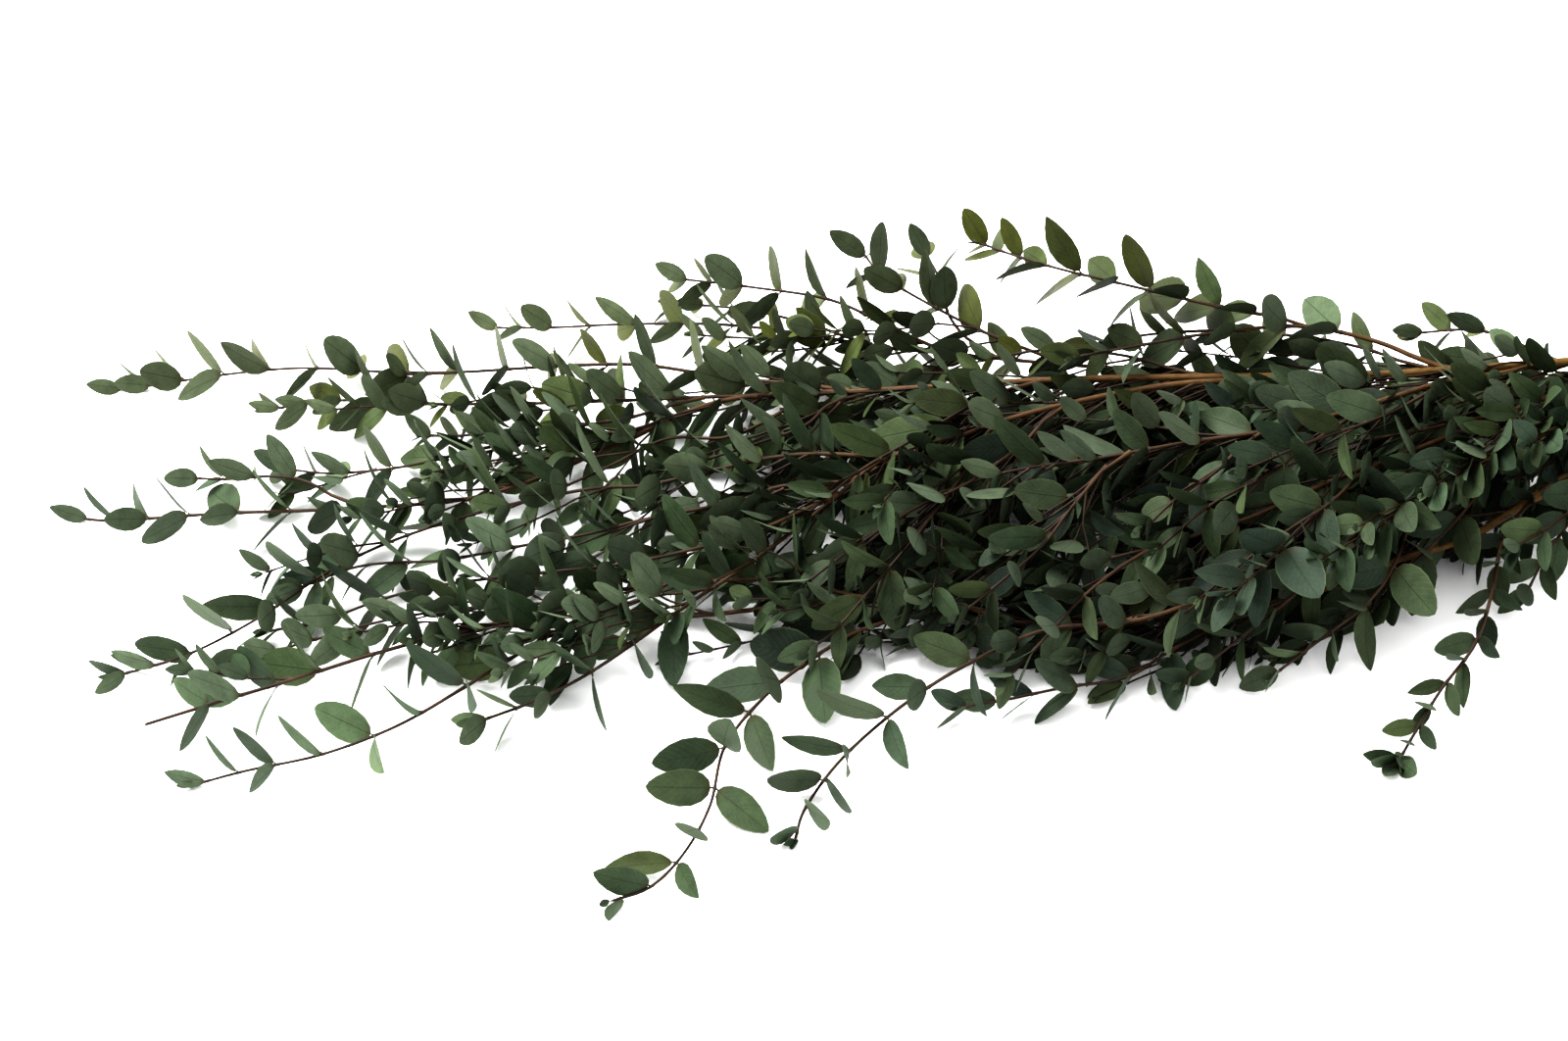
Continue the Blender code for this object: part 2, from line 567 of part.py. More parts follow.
def build():
    clear_scene()
    branch = bpy.data.collections.new("Eucalyptus branch")
    cutters = bpy.data.collections.new("Cutters")
    loose = bpy.data.collections.new("Leaves to fuse")
    for collection in (branch, cutters, loose):
        bpy.context.scene.collection.children.link(collection)
    butt_path, shapes = stem_shapes()
    leaves = lay_leaves(shapes, butt_path)
    butt_knots = butt_path[np.linspace(0, len(butt_path) - 1, BUTT_KNOTS).astype(int)]
    butt_radii = np.linspace(*BUTT_THICKNESS, len(butt_knots)) / 2
    butt = add_tube("butt", butt_knots, butt_radii, BUTT_ROUNDNESS, branch)
    butt.data.materials.append(principled("butt wood", WOOD, WOOD_ROUGHNESS))
    rest_flat(butt, cutters)
    count = 0
    for number, (name, (points, radii, *_)) in enumerate(shapes.items()):
        roundness = LIMB_ROUNDNESS if radii[0] > THICK_LIMB / 2 else TWIG_ROUNDNESS
        stem = add_tube(name, points, radii, roundness, branch)
        for verts, faces in leaves[name]:
            add_blade(verts, faces, loose)
        fuse(stem, loose)
        stem.data.materials.clear()
        green = LEAF_GREENS[number % len(LEAF_GREENS)]
        stem.data.materials.append(principled(name + " leaf", green, LEAF_ROUGHNESS))
        count += len(leaves[name])
    print("leaves laid", count, "of", sum(len(shape[4]) for shape in shapes.values()) * 2)


build()
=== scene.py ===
# A cut eucalyptus branch, preserved, lying on a white table
import json
import math
import random

import bmesh
import bpy
import numpy as np
from mathutils import Matrix, Vector
from mathutils.bvhtree import BVHTree

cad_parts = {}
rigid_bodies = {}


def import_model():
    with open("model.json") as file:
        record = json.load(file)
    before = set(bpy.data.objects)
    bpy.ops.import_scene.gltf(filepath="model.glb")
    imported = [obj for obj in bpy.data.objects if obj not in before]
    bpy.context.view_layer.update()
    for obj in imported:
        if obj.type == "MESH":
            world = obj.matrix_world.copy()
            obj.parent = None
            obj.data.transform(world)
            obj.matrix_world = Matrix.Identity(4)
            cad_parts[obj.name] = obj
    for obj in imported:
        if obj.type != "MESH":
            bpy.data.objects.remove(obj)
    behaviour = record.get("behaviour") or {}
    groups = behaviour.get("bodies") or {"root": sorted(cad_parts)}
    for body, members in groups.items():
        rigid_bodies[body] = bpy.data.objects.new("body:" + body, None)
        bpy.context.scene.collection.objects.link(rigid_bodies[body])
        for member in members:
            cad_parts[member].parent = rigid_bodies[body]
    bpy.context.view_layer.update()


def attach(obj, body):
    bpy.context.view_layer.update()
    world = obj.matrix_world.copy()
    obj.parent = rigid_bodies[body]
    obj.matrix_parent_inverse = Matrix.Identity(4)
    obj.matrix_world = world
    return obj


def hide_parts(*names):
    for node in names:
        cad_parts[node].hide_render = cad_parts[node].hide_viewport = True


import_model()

# The butt
# The thick woody end that every limb grows from, cut through and lying on the table. It is living wood under
# thin brown bark that is ridged lengthwise. It is grown as a tube along a bent line, its underside worn flat.
MM = 0.001
PLAN_CENTRE = np.array((67.8, -40.7, 0.0))
PATH_STEP = 2.0
SPAN_POINTS = 12
FEWEST_STEPS = 4
BUTT_ROUTE = ((432, 94, 4.6), (413, 87, 5.0), (384, 72, 16), (354, 56, 34), (336, 48, 44))
BUTT_THICKNESS = (10.5, 8.0)
BUTT_SIDES = 32
BUTT_STEP = 1.0
BUTT_LUMPS = 0.035
LUMPS_PER_MM = 0.55
CUT_EDGE = 0.5
CUT_FACING = 0.98
RING_WIDTH = 0.7
WAVE_SCALE = 0.314
FIBRE_SIZE = 0.5
BARK_MIRROR = 0.35
YOUNG_RADIUS = 0.6
OLD_RADIUS = 2.0


def distance_along(path):
    return np.concatenate([[0], np.cumsum(np.linalg.norm(np.diff(path, axis=0), axis=1))])


def read_path(path, along, at):
    return np.stack([np.interp(at, along, path[:, axis]) for axis in range(3)], axis=-1)


def smooth_path(points):
    """A smooth curve through the points, read every PATH_STEP."""
    points = np.array(points, float)
    ends = np.vstack([2 * points[0] - points[1], points, 2 * points[-1] - points[-2]])
    share = np.linspace(0, 1, SPAN_POINTS, endpoint=False)[:, None]
    curve = []
    for a, b, c, d in zip(ends, ends[1:], ends[2:], ends[3:]):
        curve.append(0.5 * (2 * b + (c - a) * share + (2 * a - 5 * b + 4 * c - d) * share**2
                            + (3 * b - a - 3 * c + d) * share**3))
    curve = np.vstack([*curve, points[-1]])
    along = distance_along(curve)
    steps = np.linspace(0, along[-1], max(FEWEST_STEPS, int(along[-1] / PATH_STEP)))
    return read_path(curve, along, steps)


def linear(colour):
    """A hex colour as the linear values that a shader takes."""
    parts = [int(colour[i:i + 2], 16) / 255 for i in (1, 3, 5)]
    return (*[c / 12.92 if c <= 0.04045 else ((c + 0.055) / 1.055) ** 2.4 for c in parts], 1)


def feed(tree, node, inputs):
    """Sets a node's inputs, each to a value, a hex colour, a socket, or a node whose result it takes."""
    for name, value in inputs.items():
        socket = node.inputs[name]
        if isinstance(value, bpy.types.Node):
            value = value.outputs[2 if value.bl_idname == "ShaderNodeMix" else 0]
        if isinstance(value, bpy.types.NodeSocket):
            tree.links.new(value, socket)
        elif isinstance(value, str) and value.startswith("#"):
            socket.default_value = linear(value)
        else:
            socket.default_value = value


def add_node(tree, kind, inputs=(), stops=(), **settings):
    """Adds a node with its settings, its inputs and its colour stops."""
    node = tree.nodes.new(kind)
    for setting, value in settings.items():
        setattr(node, setting, value)
    feed(tree, node, dict(inputs))
    for i, (place, colour) in enumerate(stops):
        stop = node.color_ramp.elements[i] if i < 2 else node.color_ramp.elements.new(place)
        stop.position = place
        stop.color = linear(colour)
    return node


def maths(tree, operation, *terms, **settings):
    return add_node(tree, "ShaderNodeMath", dict(enumerate(terms)), operation=operation, **settings)


def mapped(tree, value, span, low=0.0, high=1.0, curve="LINEAR"):
    """The value's span from its first end to its second, mapped to low and high."""
    ends = {"Value": value, "From Min": span[0], "From Max": span[1], "To Min": low, "To Max": high}
    return add_node(tree, "ShaderNodeMapRange", ends, interpolation_type=curve)


def mixed(tree, share, base, colour):
    """The base colour, turned by a share into the other one."""
    return add_node(tree, "ShaderNodeMix", {0: share, 6: base, 7: colour}, data_type="RGBA")


def shaded(tree, colour, share):
    return add_node(tree, "ShaderNodeVectorMath", {0: colour, 1: share}, operation="MULTIPLY")


def noise(tree, place, size, detail, roughness=0.5):
    """Noise whose patches have about this size, in the units of the place it is read at."""
    return add_node(tree, "ShaderNodeTexNoise",
                    {"Vector": place, "Scale": 1 / size, "Detail": detail, "Roughness": roughness})


def place_on(tree):
    return add_node(tree, "ShaderNodeTexCoord").outputs["Object"]


def mark(tree, name, output="Fac"):
    return add_node(tree, "ShaderNodeAttribute", attribute_name=name).outputs[output]


def new_material(name, specular=None):
    """A material and its node tree. A living skin states how weakly it mirrors."""
    material = bpy.data.materials.new(name)
    material.use_nodes = True
    tree = material.node_tree
    if specular is not None:
        feed(tree, tree.nodes["Principled BSDF"], {"IOR": 1.45, "Specular IOR Level": specular})
    return material, tree


def finish_skin(tree, colour, roughness, height, strength, depth):
    """Gives the tree's shader its colour, its roughness and its fine relief, in millimetres."""
    bump = add_node(tree, "ShaderNodeBump", {"Strength": strength, "Distance": depth * MM, "Height": height})
    feed(tree, tree.nodes["Principled BSDF"], {"Base Color": colour, "Roughness": roughness, "Normal": bump})


def new_grower(name, result, *inputs):
    """A node tree for shapes, with named inputs and one result, and the sockets of its inputs."""
    tree = bpy.data.node_groups.new(name, "GeometryNodeTree")
    for label, kind in inputs:
        tree.interface.new_socket(label, in_out="INPUT", socket_type="NodeSocket" + kind)
    tree.interface.new_socket(result, in_out="OUTPUT", socket_type="NodeSocketGeometry")
    return tree, add_node(tree, "NodeGroupInput").outputs


def read_mark(tree, name, kind="FLOAT"):
    return add_node(tree, "GeometryNodeInputNamedAttribute", {"Name": name}, data_type=kind)


def tube_tree():
    """Node tree that turns a line of vertices, each with a radius, into a capped tube."""
    tree, given = new_grower("Wood tube", "Tube",
                             ("Line", "Geometry"), ("Sides", "Int"), ("Bark", "Material"))
    line = add_node(tree, "GeometryNodeMeshToCurve", {"Mesh": given["Line"]})
    ring = add_node(tree, "GeometryNodeCurvePrimitiveCircle",
                    {"Radius": 1.0, "Resolution": given["Sides"]})
    place = add_node(tree, "GeometryNodeInputPosition")
    marked = add_node(tree, "GeometryNodeStoreNamedAttribute",
                      {"Geometry": ring, "Name": "ring", "Value": place},
                      data_type="FLOAT_VECTOR", domain="POINT")
    swept = add_node(tree, "GeometryNodeCurveToMesh",
                     {"Fill Caps": True, "Curve": line, "Profile Curve": marked,
                      "Scale": read_mark(tree, "radius")})
    smooth = add_node(tree, "GeometryNodeSetShadeSmooth", {"Geometry": swept})
    real = add_node(tree, "GeometryNodeRealizeInstances", {"Geometry": smooth})
    painted = add_node(tree, "GeometryNodeSetMaterial", {"Geometry": real, "Material": given["Bark"]})
    add_node(tree, "NodeGroupOutput", {"Tube": painted})
    return tree


def grown(name, mesh, tree, inputs):
    """Runs a node tree on a mesh and returns the result as a plain object at the origin."""
    piece = bpy.data.objects.new(name, mesh)
    bpy.context.scene.collection.objects.link(piece)
    grower = piece.modifiers.new(tree.name, "NODES")
    grower.node_group = tree
    for socket in tree.interface.items_tree:
        if socket.in_out == "INPUT" and socket.name in inputs:
            grower[socket.identifier] = inputs[socket.name]
    graph = bpy.context.evaluated_depsgraph_get()
    result = bpy.data.meshes.new_from_object(piece.evaluated_get(graph))
    piece.modifiers.clear()
    piece.data = result
    result.name = name
    return piece


def wood_line(name, lines):
    """A mesh of open lines, given as points and radii in millimetres, that carries what bark needs."""
    points = np.vstack([(line - PLAN_CENTRE) * MM for line, *_ in lines])
    counts = np.cumsum([0, *[len(line) for line, *_ in lines]])
    edges = [(i, i + 1) for a, b in zip(counts, counts[1:]) for i in range(a, b - 1)]
    mesh = bpy.data.meshes.new(name)
    mesh.from_pydata(points.tolist(), edges, [])
    radii = np.concatenate([radii for _, radii, _ in lines])
    marks = {
        "radius": radii * MM,
        "along": np.concatenate([distance_along(line) for line, *_ in lines]),
        "knot": np.concatenate([knots for *_, knots in lines]),
        "age": np.clip((radii - YOUNG_RADIUS) / (OLD_RADIUS - YOUNG_RADIUS), 0, 1),
    }
    for mark, values in marks.items():
        mesh.attributes.new(mark, "FLOAT", "POINT").data.foreach_set("value", values.astype(np.float32))
    return mesh


def bark_material(name, young, middle, old, ridge):
    """Eucalyptus bark: matt, dark and reddish on young shoots, browner and ridged lengthwise on old wood."""
    material, tree = new_material(name, BARK_MIRROR)
    ring = add_node(tree, "ShaderNodeSeparateXYZ", {0: mark(tree, "ring", "Vector")}).outputs
    stretch = maths(tree, "MULTIPLY", mark(tree, "along"), ridge["stretch"])
    grain_place = add_node(tree, "ShaderNodeCombineXYZ", {0: ring[0], 1: ring[1], 2: stretch})
    grain = noise(tree, grain_place, 1 / ridge["around"], 4, 0.6)
    patch = noise(tree, place_on(tree), ridge["patch_mm"] * MM, 2)
    wear = maths(tree, "MULTIPLY_ADD", patch, 0.55, -0.27)
    aged = maths(tree, "ADD", mark(tree, "age"), wear, use_clamp=True)
    stops = ((0.0, young), (1.0, old), (0.35, middle))
    colour = add_node(tree, "ShaderNodeValToRGB", {0: aged}, stops)
    streaked = shaded(tree, colour, mapped(tree, grain, (0.32, 0.66), 0.55, 1.25))
    knotted = mixed(tree, mark(tree, "knot"), streaked, ridge["knot_colour"])
    finish_skin(tree, knotted, mapped(tree, grain, (0, 1), 0.78, 0.5), grain, 0.6, ridge["depth_mm"])
    return material


def cut_wood_material(centre, axis):
    """Fresh cut eucalyptus wood: pale, with fine growth rings round a darker pith and a dry matt face."""
    material, tree = new_material("cut eucalyptus wood")
    place = place_on(tree)
    turn = axis.to_track_quat("Z", "Y").inverted().to_euler()
    level = add_node(tree, "ShaderNodeMapping",
                     {"Vector": place, "Rotation": turn, "Location": -(turn.to_matrix() @ centre)})
    rings = add_node(tree, "ShaderNodeTexWave",
                     {"Vector": level, "Scale": WAVE_SCALE / (RING_WIDTH * MM), "Distortion": 1.2,
                      "Detail": 2, "Detail Scale": 0.6}, wave_type="RINGS", rings_direction="Z")
    stops = ((0.0, "#8a6f4a"), (1.0, "#b39c76"))
    colour = add_node(tree, "ShaderNodeValToRGB", {0: rings.outputs["Fac"]}, stops)
    fibre = noise(tree, place, FIBRE_SIZE * MM, 3)
    finish_skin(tree, colour, mapped(tree, fibre, (0, 1), 0.75, 0.95), fibre, 0.5, 0.15)
    return material


wood_tube = tube_tree()
old_bark = bark_material("ridged brown bark", "#3d291a", "#4c3722", "#57442c",
                         {"around": 3.2, "stretch": 0.16, "patch_mm": 9, "depth_mm": 0.5,
                          "knot_colour": "#3a2718"})
butt_path = smooth_path(BUTT_ROUTE)
butt_along = distance_along(butt_path)
butt_radii = np.linspace(*BUTT_THICKNESS, len(butt_path)) / 2
butt_stops = np.concatenate([[0, CUT_EDGE, 2 * CUT_EDGE],
                             np.arange(2, butt_along[-1], BUTT_STEP), butt_along[-1:]])
butt_lumps = 1 + BUTT_LUMPS * np.sin(butt_stops * LUMPS_PER_MM)
butt_shape = np.interp(butt_stops, butt_along, butt_radii) * butt_lumps
butt_shape[0] -= CUT_EDGE
butt_line = read_path(butt_path, butt_along, butt_stops)
butt = grown("butt_wood", wood_line("butt", [(butt_line, butt_shape, butt_stops * 0)]), wood_tube,
             {"Sides": BUTT_SIDES, "Bark": old_bark})
cut_centre = Vector((butt_path[0] - PLAN_CENTRE) * MM)
cut_axis = Vector(butt_path[0] - butt_path[1]).normalized()
butt.data.materials.append(cut_wood_material(cut_centre, cut_axis))
for face in butt.data.polygons:
    if face.normal.dot(cut_axis) > CUT_FACING and (face.center - cut_centre).length < MM:
        face.material_index = 1
for vertex in butt.data.vertices:
    vertex.co.z = max(vertex.co.z, 0)
butt.data.set_sharp_from_angle(angle=math.radians(60))
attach(butt, "root")
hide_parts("butt")

# The limbs and side shoots
# Slender wood, brown where it is thick and darker at the tips, slightly swollen and dark at each pair of
# leaves. Each row has a stem's name, what it grows from, its thickness at start and tip in millimetres, its
# leaves' scale, and its route from base to tip.
JOINT_GAP = 0.3
KNOT_STEP = 34.0
ELBOW = 1.25
TAPER = 0.6
CLEAR_GAP = 1.0
BEND_LENGTH = 12.0
SEATED_LENGTH = 4.0
BEND_ROUNDS = 60
SLACK = 0.02
SIDEWAYS = 0.4
UPRIGHT = 0.6
LOW_LEVEL = 6.0
TABLE_GAP = 0.1
FIRST_PAIR_FROM_TIP = 4.0
TIP_INTERNODE = 12.0
INTERNODE = 21.0
INTERNODE_GROWTH = 1.2
BARE_START = 14.0
BARE_TIP = {"limb_low": 22.0}
CLOSE_PAIRS = {"limb_near": 0.6, "spray_arch_tip": 0.7, "twig": 0.8}
LEAFY_LENGTH = {"limb_leader": 340.0, "limb_front_inner": 175.0, "limb_front_lower": 330.0,
                "limb_near": 150.0, "limb_back": 300.0, "limb_arch": 130.0, "limb_front_upper": 200.0,
                "limb_middle": 270.0, "limb_low": 130.0}
FORK_STEPS = 4
FORK_LENGTH = 7.0
STEMS = (
    ("limb_leader", "butt", (4.4, 1.2), 1.0,
     ((336, 48, 44), (320, 41, 50), (240, 32, 50), (185, 35, 47), (115, 40, 42), (40, 45, 33),
      (-25, 50, 24), (-70, 25, 19), (-120, -5, 17), (-175, -10, 14), (-225, -8, 10), (-270, -5, 4),
      (-286, 0, 0.9))),
    ("limb_front_inner", "butt", (3.4, 1.2), 1.0,
     ((350, 52, 38), (315, 25, 46), (285, 8, 46), (245, -15, 45), (215, -30, 43), (180, -50, 40),
      (145, -62, 36), (112, -70, 32))),
    ("limb_front_lower", "butt", (3.6, 1.1), 1.0,
     ((368, 62, 26), (335, 25, 36), (305, 5, 40), (270, -20, 40), (240, -40, 38), (205, -62, 35),
      (165, -85, 31), (135, -96, 27), (100, -96, 22), (70, -110, 17), (45, -128, 12), (22, -152, 7),
      (8, -175, 3), (4, -190, 0.9))),
    ("limb_near", "butt", (3.2, 1.1), 0.64,
     ((385, 70, 17), (355, 30, 27), (325, -2, 31), (303, -18, 31), (283, -45, 27), (275, -70, 20),
      (265, -95, 14), (250, -115, 9), (240, -130, 4), (230, -147, 0.9))),
    ("limb_back", "limb_leader", (2.8, 1.0), 0.85,
     ((285, 40, 46), (240, 50, 38), (200, 56, 32), (125, 72, 26), (70, 85, 23), (40, 93, 21),
      (10, 105, 19), (-25, 115, 17), (-65, 120, 14), (-100, 126, 8), (-128, 136, 0.9))),
    ("limb_arch", "limb_leader", (2.6, 1.1), 1.0,
     ((262, 38, 50), (240, 48, 56), (210, 52, 60), (175, 50, 58), (145, 47, 54), (118, 44, 50))),
    ("limb_front_upper", "limb_leader", (3.0, 1.1), 1.0,
     ((300, 36, 52), (265, 22, 53), (235, 8, 53), (200, -8, 53), (160, -15, 51), (125, -20, 47),
      (90, -22, 42), (58, -30, 36))),
    ("limb_middle", "limb_leader", (3.2, 1.1), 1.0,
     ((215, 32, 49), (160, 30, 47), (105, 18, 43), (70, 5, 39), (40, -5, 35), (18, -27, 30),
      (-10, -55, 25), (-35, -76, 20), (-70, -108, 14), (-92, -122, 10), (-115, -132, 7))),
    ("limb_low", "limb_near", (3.4, 1.3), 1.0,
     ((293, -28, 29), (270, -38, 21), (240, -48, 17), (205, -64, 14), (150, -78, 13), (100, -82, 12),
      (50, -64, 13), (5, -70, 13), (-40, -76, 12), (-85, -76, 12), (-120, -84, 13), (-155, -100, 14),
      (-185, -114, 13), (-215, -126, 11), (-240, -136, 9))),
    ("spray_arch_tip", "limb_arch", (1.8, 1.0), 0.95,
     ((210, 52, 60), (180, 58, 65), (145, 67, 69), (115, 77, 71), (95, 88, 71), (82, 100, 69))),
    ("spray_back_top", "limb_back", (1.9, 1.0), 1.0,
     ((110, 75, 26), (85, 86, 33), (60, 100, 39), (42, 114, 43), (34, 130, 44))),
    ("spray_back_upright", "limb_back", (1.8, 1.0), 0.95,
     ((82, 83, 24), (70, 95, 36), (66, 107, 46), (60, 122, 50))),
    ("spray_back_left", "limb_back", (1.9, 1.0), 0.95,
     ((62, 87, 23), (40, 98, 31), (18, 110, 34), (-15, 122, 32), (-45, 134, 28))),
    ("spray_back_low", "limb_back", (1.8, 1.0), 0.8,
     ((30, 97, 20), (8, 120, 15), (-20, 136, 11), (-50, 146, 7))),
    ("spray_far_tip", "limb_leader", (2.0, 1.0), 1.0,
     ((18, 47, 30), (-22, 62, 27), (-60, 74, 25), (-95, 76, 23), (-135, 76, 20), (-165, 80, 17),
      (-205, 90, 12), (-240, 92, 7), (-275, 90, 2), (-286, 91, 0.9))),
    ("spray_far_inner", "limb_leader", (1.9, 1.0), 1.0,
     ((-18, 50, 25), (-60, 56, 20), (-115, 60, 15), (-160, 66, 11), (-190, 72, 8), (-216, 70, 5))),
    ("spray_tip_back", "limb_leader", (1.7, 1.0), 0.9,
     ((-178, -10, 14), (-192, 4, 16), (-208, 10, 15), (-226, 12, 12), (-243, 18, 8))),
    ("spray_tip_outer", "limb_leader", (1.8, 1.0), 0.95,
     ((-62, 30, 20), (-85, 34, 19), (-105, 31, 18), (-128, 26, 16), (-155, 18, 14), (-185, 16, 12),
      (-206, 22, 10))),
    ("spray_far_side", "spray_far_inner", (1.7, 1.0), 0.9,
     ((-42, 52, 22), (-65, 43, 20), (-90, 41, 17), (-115, 42, 14), (-135, 43, 11), (-150, 46, 9))),
    ("spray_left_long", "limb_middle", (2.0, 1.0), 1.0,
     ((42, -5, 35), (15, 0, 34), (-5, 0, 32), (-30, -5, 29), (-55, -9, 25), (-80, -8, 22),
      (-120, -17, 18), (-155, -32, 15), (-180, -50, 13), (-205, -75, 10), (-230, -93, 7),
      (-256, -102, 4))),
    ("spray_left_inner", "limb_middle", (1.9, 1.0), 1.0,
     ((24, -22, 31), (0, -16, 30), (-20, -24, 28), (-55, -30, 24), (-75, -36, 22), (-105, -41, 19),
      (-135, -46, 16), (-168, -45, 13), (-192, -56, 10))),
    ("spray_left_mid", "limb_middle", (1.9, 1.0), 1.0,
     ((16, -30, 29), (-10, -42, 28), (-35, -50, 25), (-60, -55, 22), (-85, -56, 19), (-130, -58, 14),
      (-155, -63, 11), (-180, -75, 9), (-200, -80, 8))),
    ("spray_left_low", "limb_low", (1.9, 1.0), 1.0,
     ((22, -68, 13), (0, -62, 19), (-30, -64, 20), (-60, -66, 18), (-85, -72, 16), (-112, -74, 16),
      (-150, -78, 13), (-185, -88, 9), (-210, -96, 6))),
    ("spray_near_left", "limb_low", (1.9, 1.0), 1.0,
     ((-72, -76, 12), (-90, -86, 11), (-106, -100, 10), (-122, -115, 9), (-145, -134, 7),
      (-172, -148, 5), (-200, -155, 3), (-218, -160, 0.9))),
    ("spray_near_big", "limb_low", (2.0, 1.0), 1.08,
     ((62, -67, 13), (30, -84, 12), (8, -103, 11), (-8, -122, 10), (-22, -148, 9), (-27, -178, 7),
      (-36, -200, 4), (-48, -216, 2), (-62, -222, 0.9))),
    ("spray_drop_left", "limb_middle", (1.8, 1.0), 1.0,
     ((78, 8, 40), (72, -20, 40), (55, -48, 35), (36, -74, 28), (20, -93, 20), (10, -100, 16))),
    ("spray_front_low", "limb_low", (1.8, 1.0), 0.95,
     ((178, -71, 14), (150, -95, 12), (130, -110, 10), (108, -113, 8), (85, -118, 6), (66, -122, 5))),
    ("spray_top_cross", "limb_front_upper", (1.8, 1.0), 0.85,
     ((228, 5, 53), (205, -22, 54), (190, -36, 52), (165, -52, 48), (143, -72, 42))),
    ("spray_top_drop", "limb_front_inner", (1.8, 1.0), 0.85,
     ((226, -24, 44), (212, -48, 46), (198, -60, 45), (178, -76, 41), (158, -94, 36))),
    ("spray_right_drop", "limb_front_lower", (1.8, 1.0), 0.9,
     ((246, -36, 38), (238, -64, 33), (226, -82, 26), (206, -96, 18), (186, -110, 11))),
    ("spray_front_drop", "limb_front_lower", (1.8, 1.0), 0.9,
     ((220, -54, 36), (206, -74, 33), (190, -88, 27), (170, -102, 19), (152, -114, 11))),
    ("spray_inner_drop", "limb_front_inner", (1.8, 1.0), 0.9,
     ((135, -64, 35), (116, -86, 32), (100, -104, 26), (84, -120, 18))),
    ("spray_middle_front", "limb_front_upper", (1.8, 1.0), 0.95,
     ((128, -20, 47), (112, -48, 44), (100, -66, 40), (86, -78, 34), (68, -92, 27))),
    ("spray_middle_fill", "limb_leader", (1.8, 1.0), 1.0,
     ((98, 41, 40), (76, 18, 45), (50, -4, 43), (30, -18, 39), (8, -38, 32))),
    ("spray_left_cross", "limb_leader", (1.8, 1.0), 1.0,
     ((8, 48, 29), (-10, 28, 28), (-25, 20, 27), (-48, 22, 25), (-70, 8, 22), (-92, -10, 21),
      (-112, -22, 22))),
    ("spray_centre_drop", "limb_middle", (1.8, 1.0), 1.0,
     ((108, 19, 43), (94, -8, 44), (72, -30, 42), (50, -42, 38), (26, -58, 31), (8, -72, 25))),
    ("spray_right_top", "limb_front_inner", (1.7, 1.0), 0.9,
     ((280, 5, 46), (250, -8, 51), (220, -16, 50), (190, -30, 47))),
    ("spray_low_near", "limb_low", (1.7, 1.0), 0.95,
     ((248, -46, 18), (232, -70, 14), (212, -84, 10), (190, -96, 8))),
    ("spray_right_back", "limb_leader", (1.7, 1.0), 0.9,
     ((312, 38, 50), (297, 54, 53), (282, 64, 50), (262, 70, 44))),
    ("shoot_arch_low", "limb_arch", (1.8, 1.0), 0.85,
     ((182, 50, 58), (168, 60, 52), (150, 66, 46), (130, 66, 42))),
    ("shoot_top_inner", "limb_front_upper", (1.7, 1.0), 0.85,
     ((182, -12, 52), (170, -34, 52), (153, -48, 49), (140, -60, 44))),
    ("shoot_left_top", "limb_leader", (1.7, 1.0), 0.95,
     ((32, 46, 32), (18, 33, 34), (8, 20, 33), (-15, 10, 30), (-45, 0, 26))),
    ("shoot_right_near", "limb_near", (1.7, 1.0), 0.9,
     ((312, -10, 31), (312, -32, 28), (300, -48, 22), (290, -64, 14))),
    ("spray_right_under", "limb_front_lower", (1.8, 1.0), 0.9,
     ((285, -10, 40), (262, -42, 30), (240, -62, 22), (215, -80, 15))),
    ("spray_right_inner", "limb_front_upper", (1.8, 1.0), 0.9,
     ((262, 20, 53), (236, -8, 58), (208, -22, 57), (178, -38, 54))),
    ("spray_far_right", "limb_near", (1.8, 1.0), 0.9,
     ((335, 8, 30), (322, -22, 34), (304, -42, 33), (284, -56, 30))),
    ("spray_back_right", "limb_leader", (1.8, 1.0), 0.9,
     ((258, 32, 50), (235, 52, 50), (208, 66, 46), (180, 74, 40))),
    ("spray_mid_back", "limb_leader", (1.8, 1.0), 0.9,
     ((165, 36, 46), (140, 54, 44), (112, 64, 40), (84, 66, 34))),
)


def unit(vector):
    return vector / np.linalg.norm(vector)


def tapered(thickness, share):
    """Radii along a stem, which thins faster near its base."""
    start, end = thickness
    return (start + (end - start) * share**TAPER) / 2


def bend_clear(path, radii, others, other_radii):
    """Bends a new stem, mostly upwards or downwards, until it lies clear of those already there."""
    along = distance_along(path)
    spread = np.exp(-0.5 * ((along[:, None] - along[None, :]) / BEND_LENGTH) ** 2)
    ramp = np.minimum(1, along / BEND_LENGTH)[:, None]
    for _ in range(BEND_ROUNDS):
        gaps = np.linalg.norm(path[:, None] - others[None], axis=2) - other_radii[None]
        nearest = gaps.argmin(axis=1)
        short = radii + CLEAR_GAP - gaps.min(axis=1)
        short[along < SEATED_LENGTH] = 0
        short = np.maximum(short, 0)
        if short.max() < SLACK:
            break
        away = path - others[nearest]
        away[:, :2] *= SIDEWAYS
        away[:, 2] += np.where(away[:, 2] >= 0, UPRIGHT, -UPRIGHT)
        away[(path[:, 2] < LOW_LEVEL) & (away[:, 2] < 0), 2] *= -1
        away /= np.linalg.norm(away, axis=1)[:, None]
        push = away * short[:, None]
        weight = spread * (short > 0)
        shares = weight / np.maximum(weight.sum(axis=1), SLACK)[:, None]
        path = path + ramp * weight.max(axis=1)[:, None] * (shares @ push)
        path[:, 2] = np.maximum(path[:, 2], radii + TABLE_GAP)
    return path


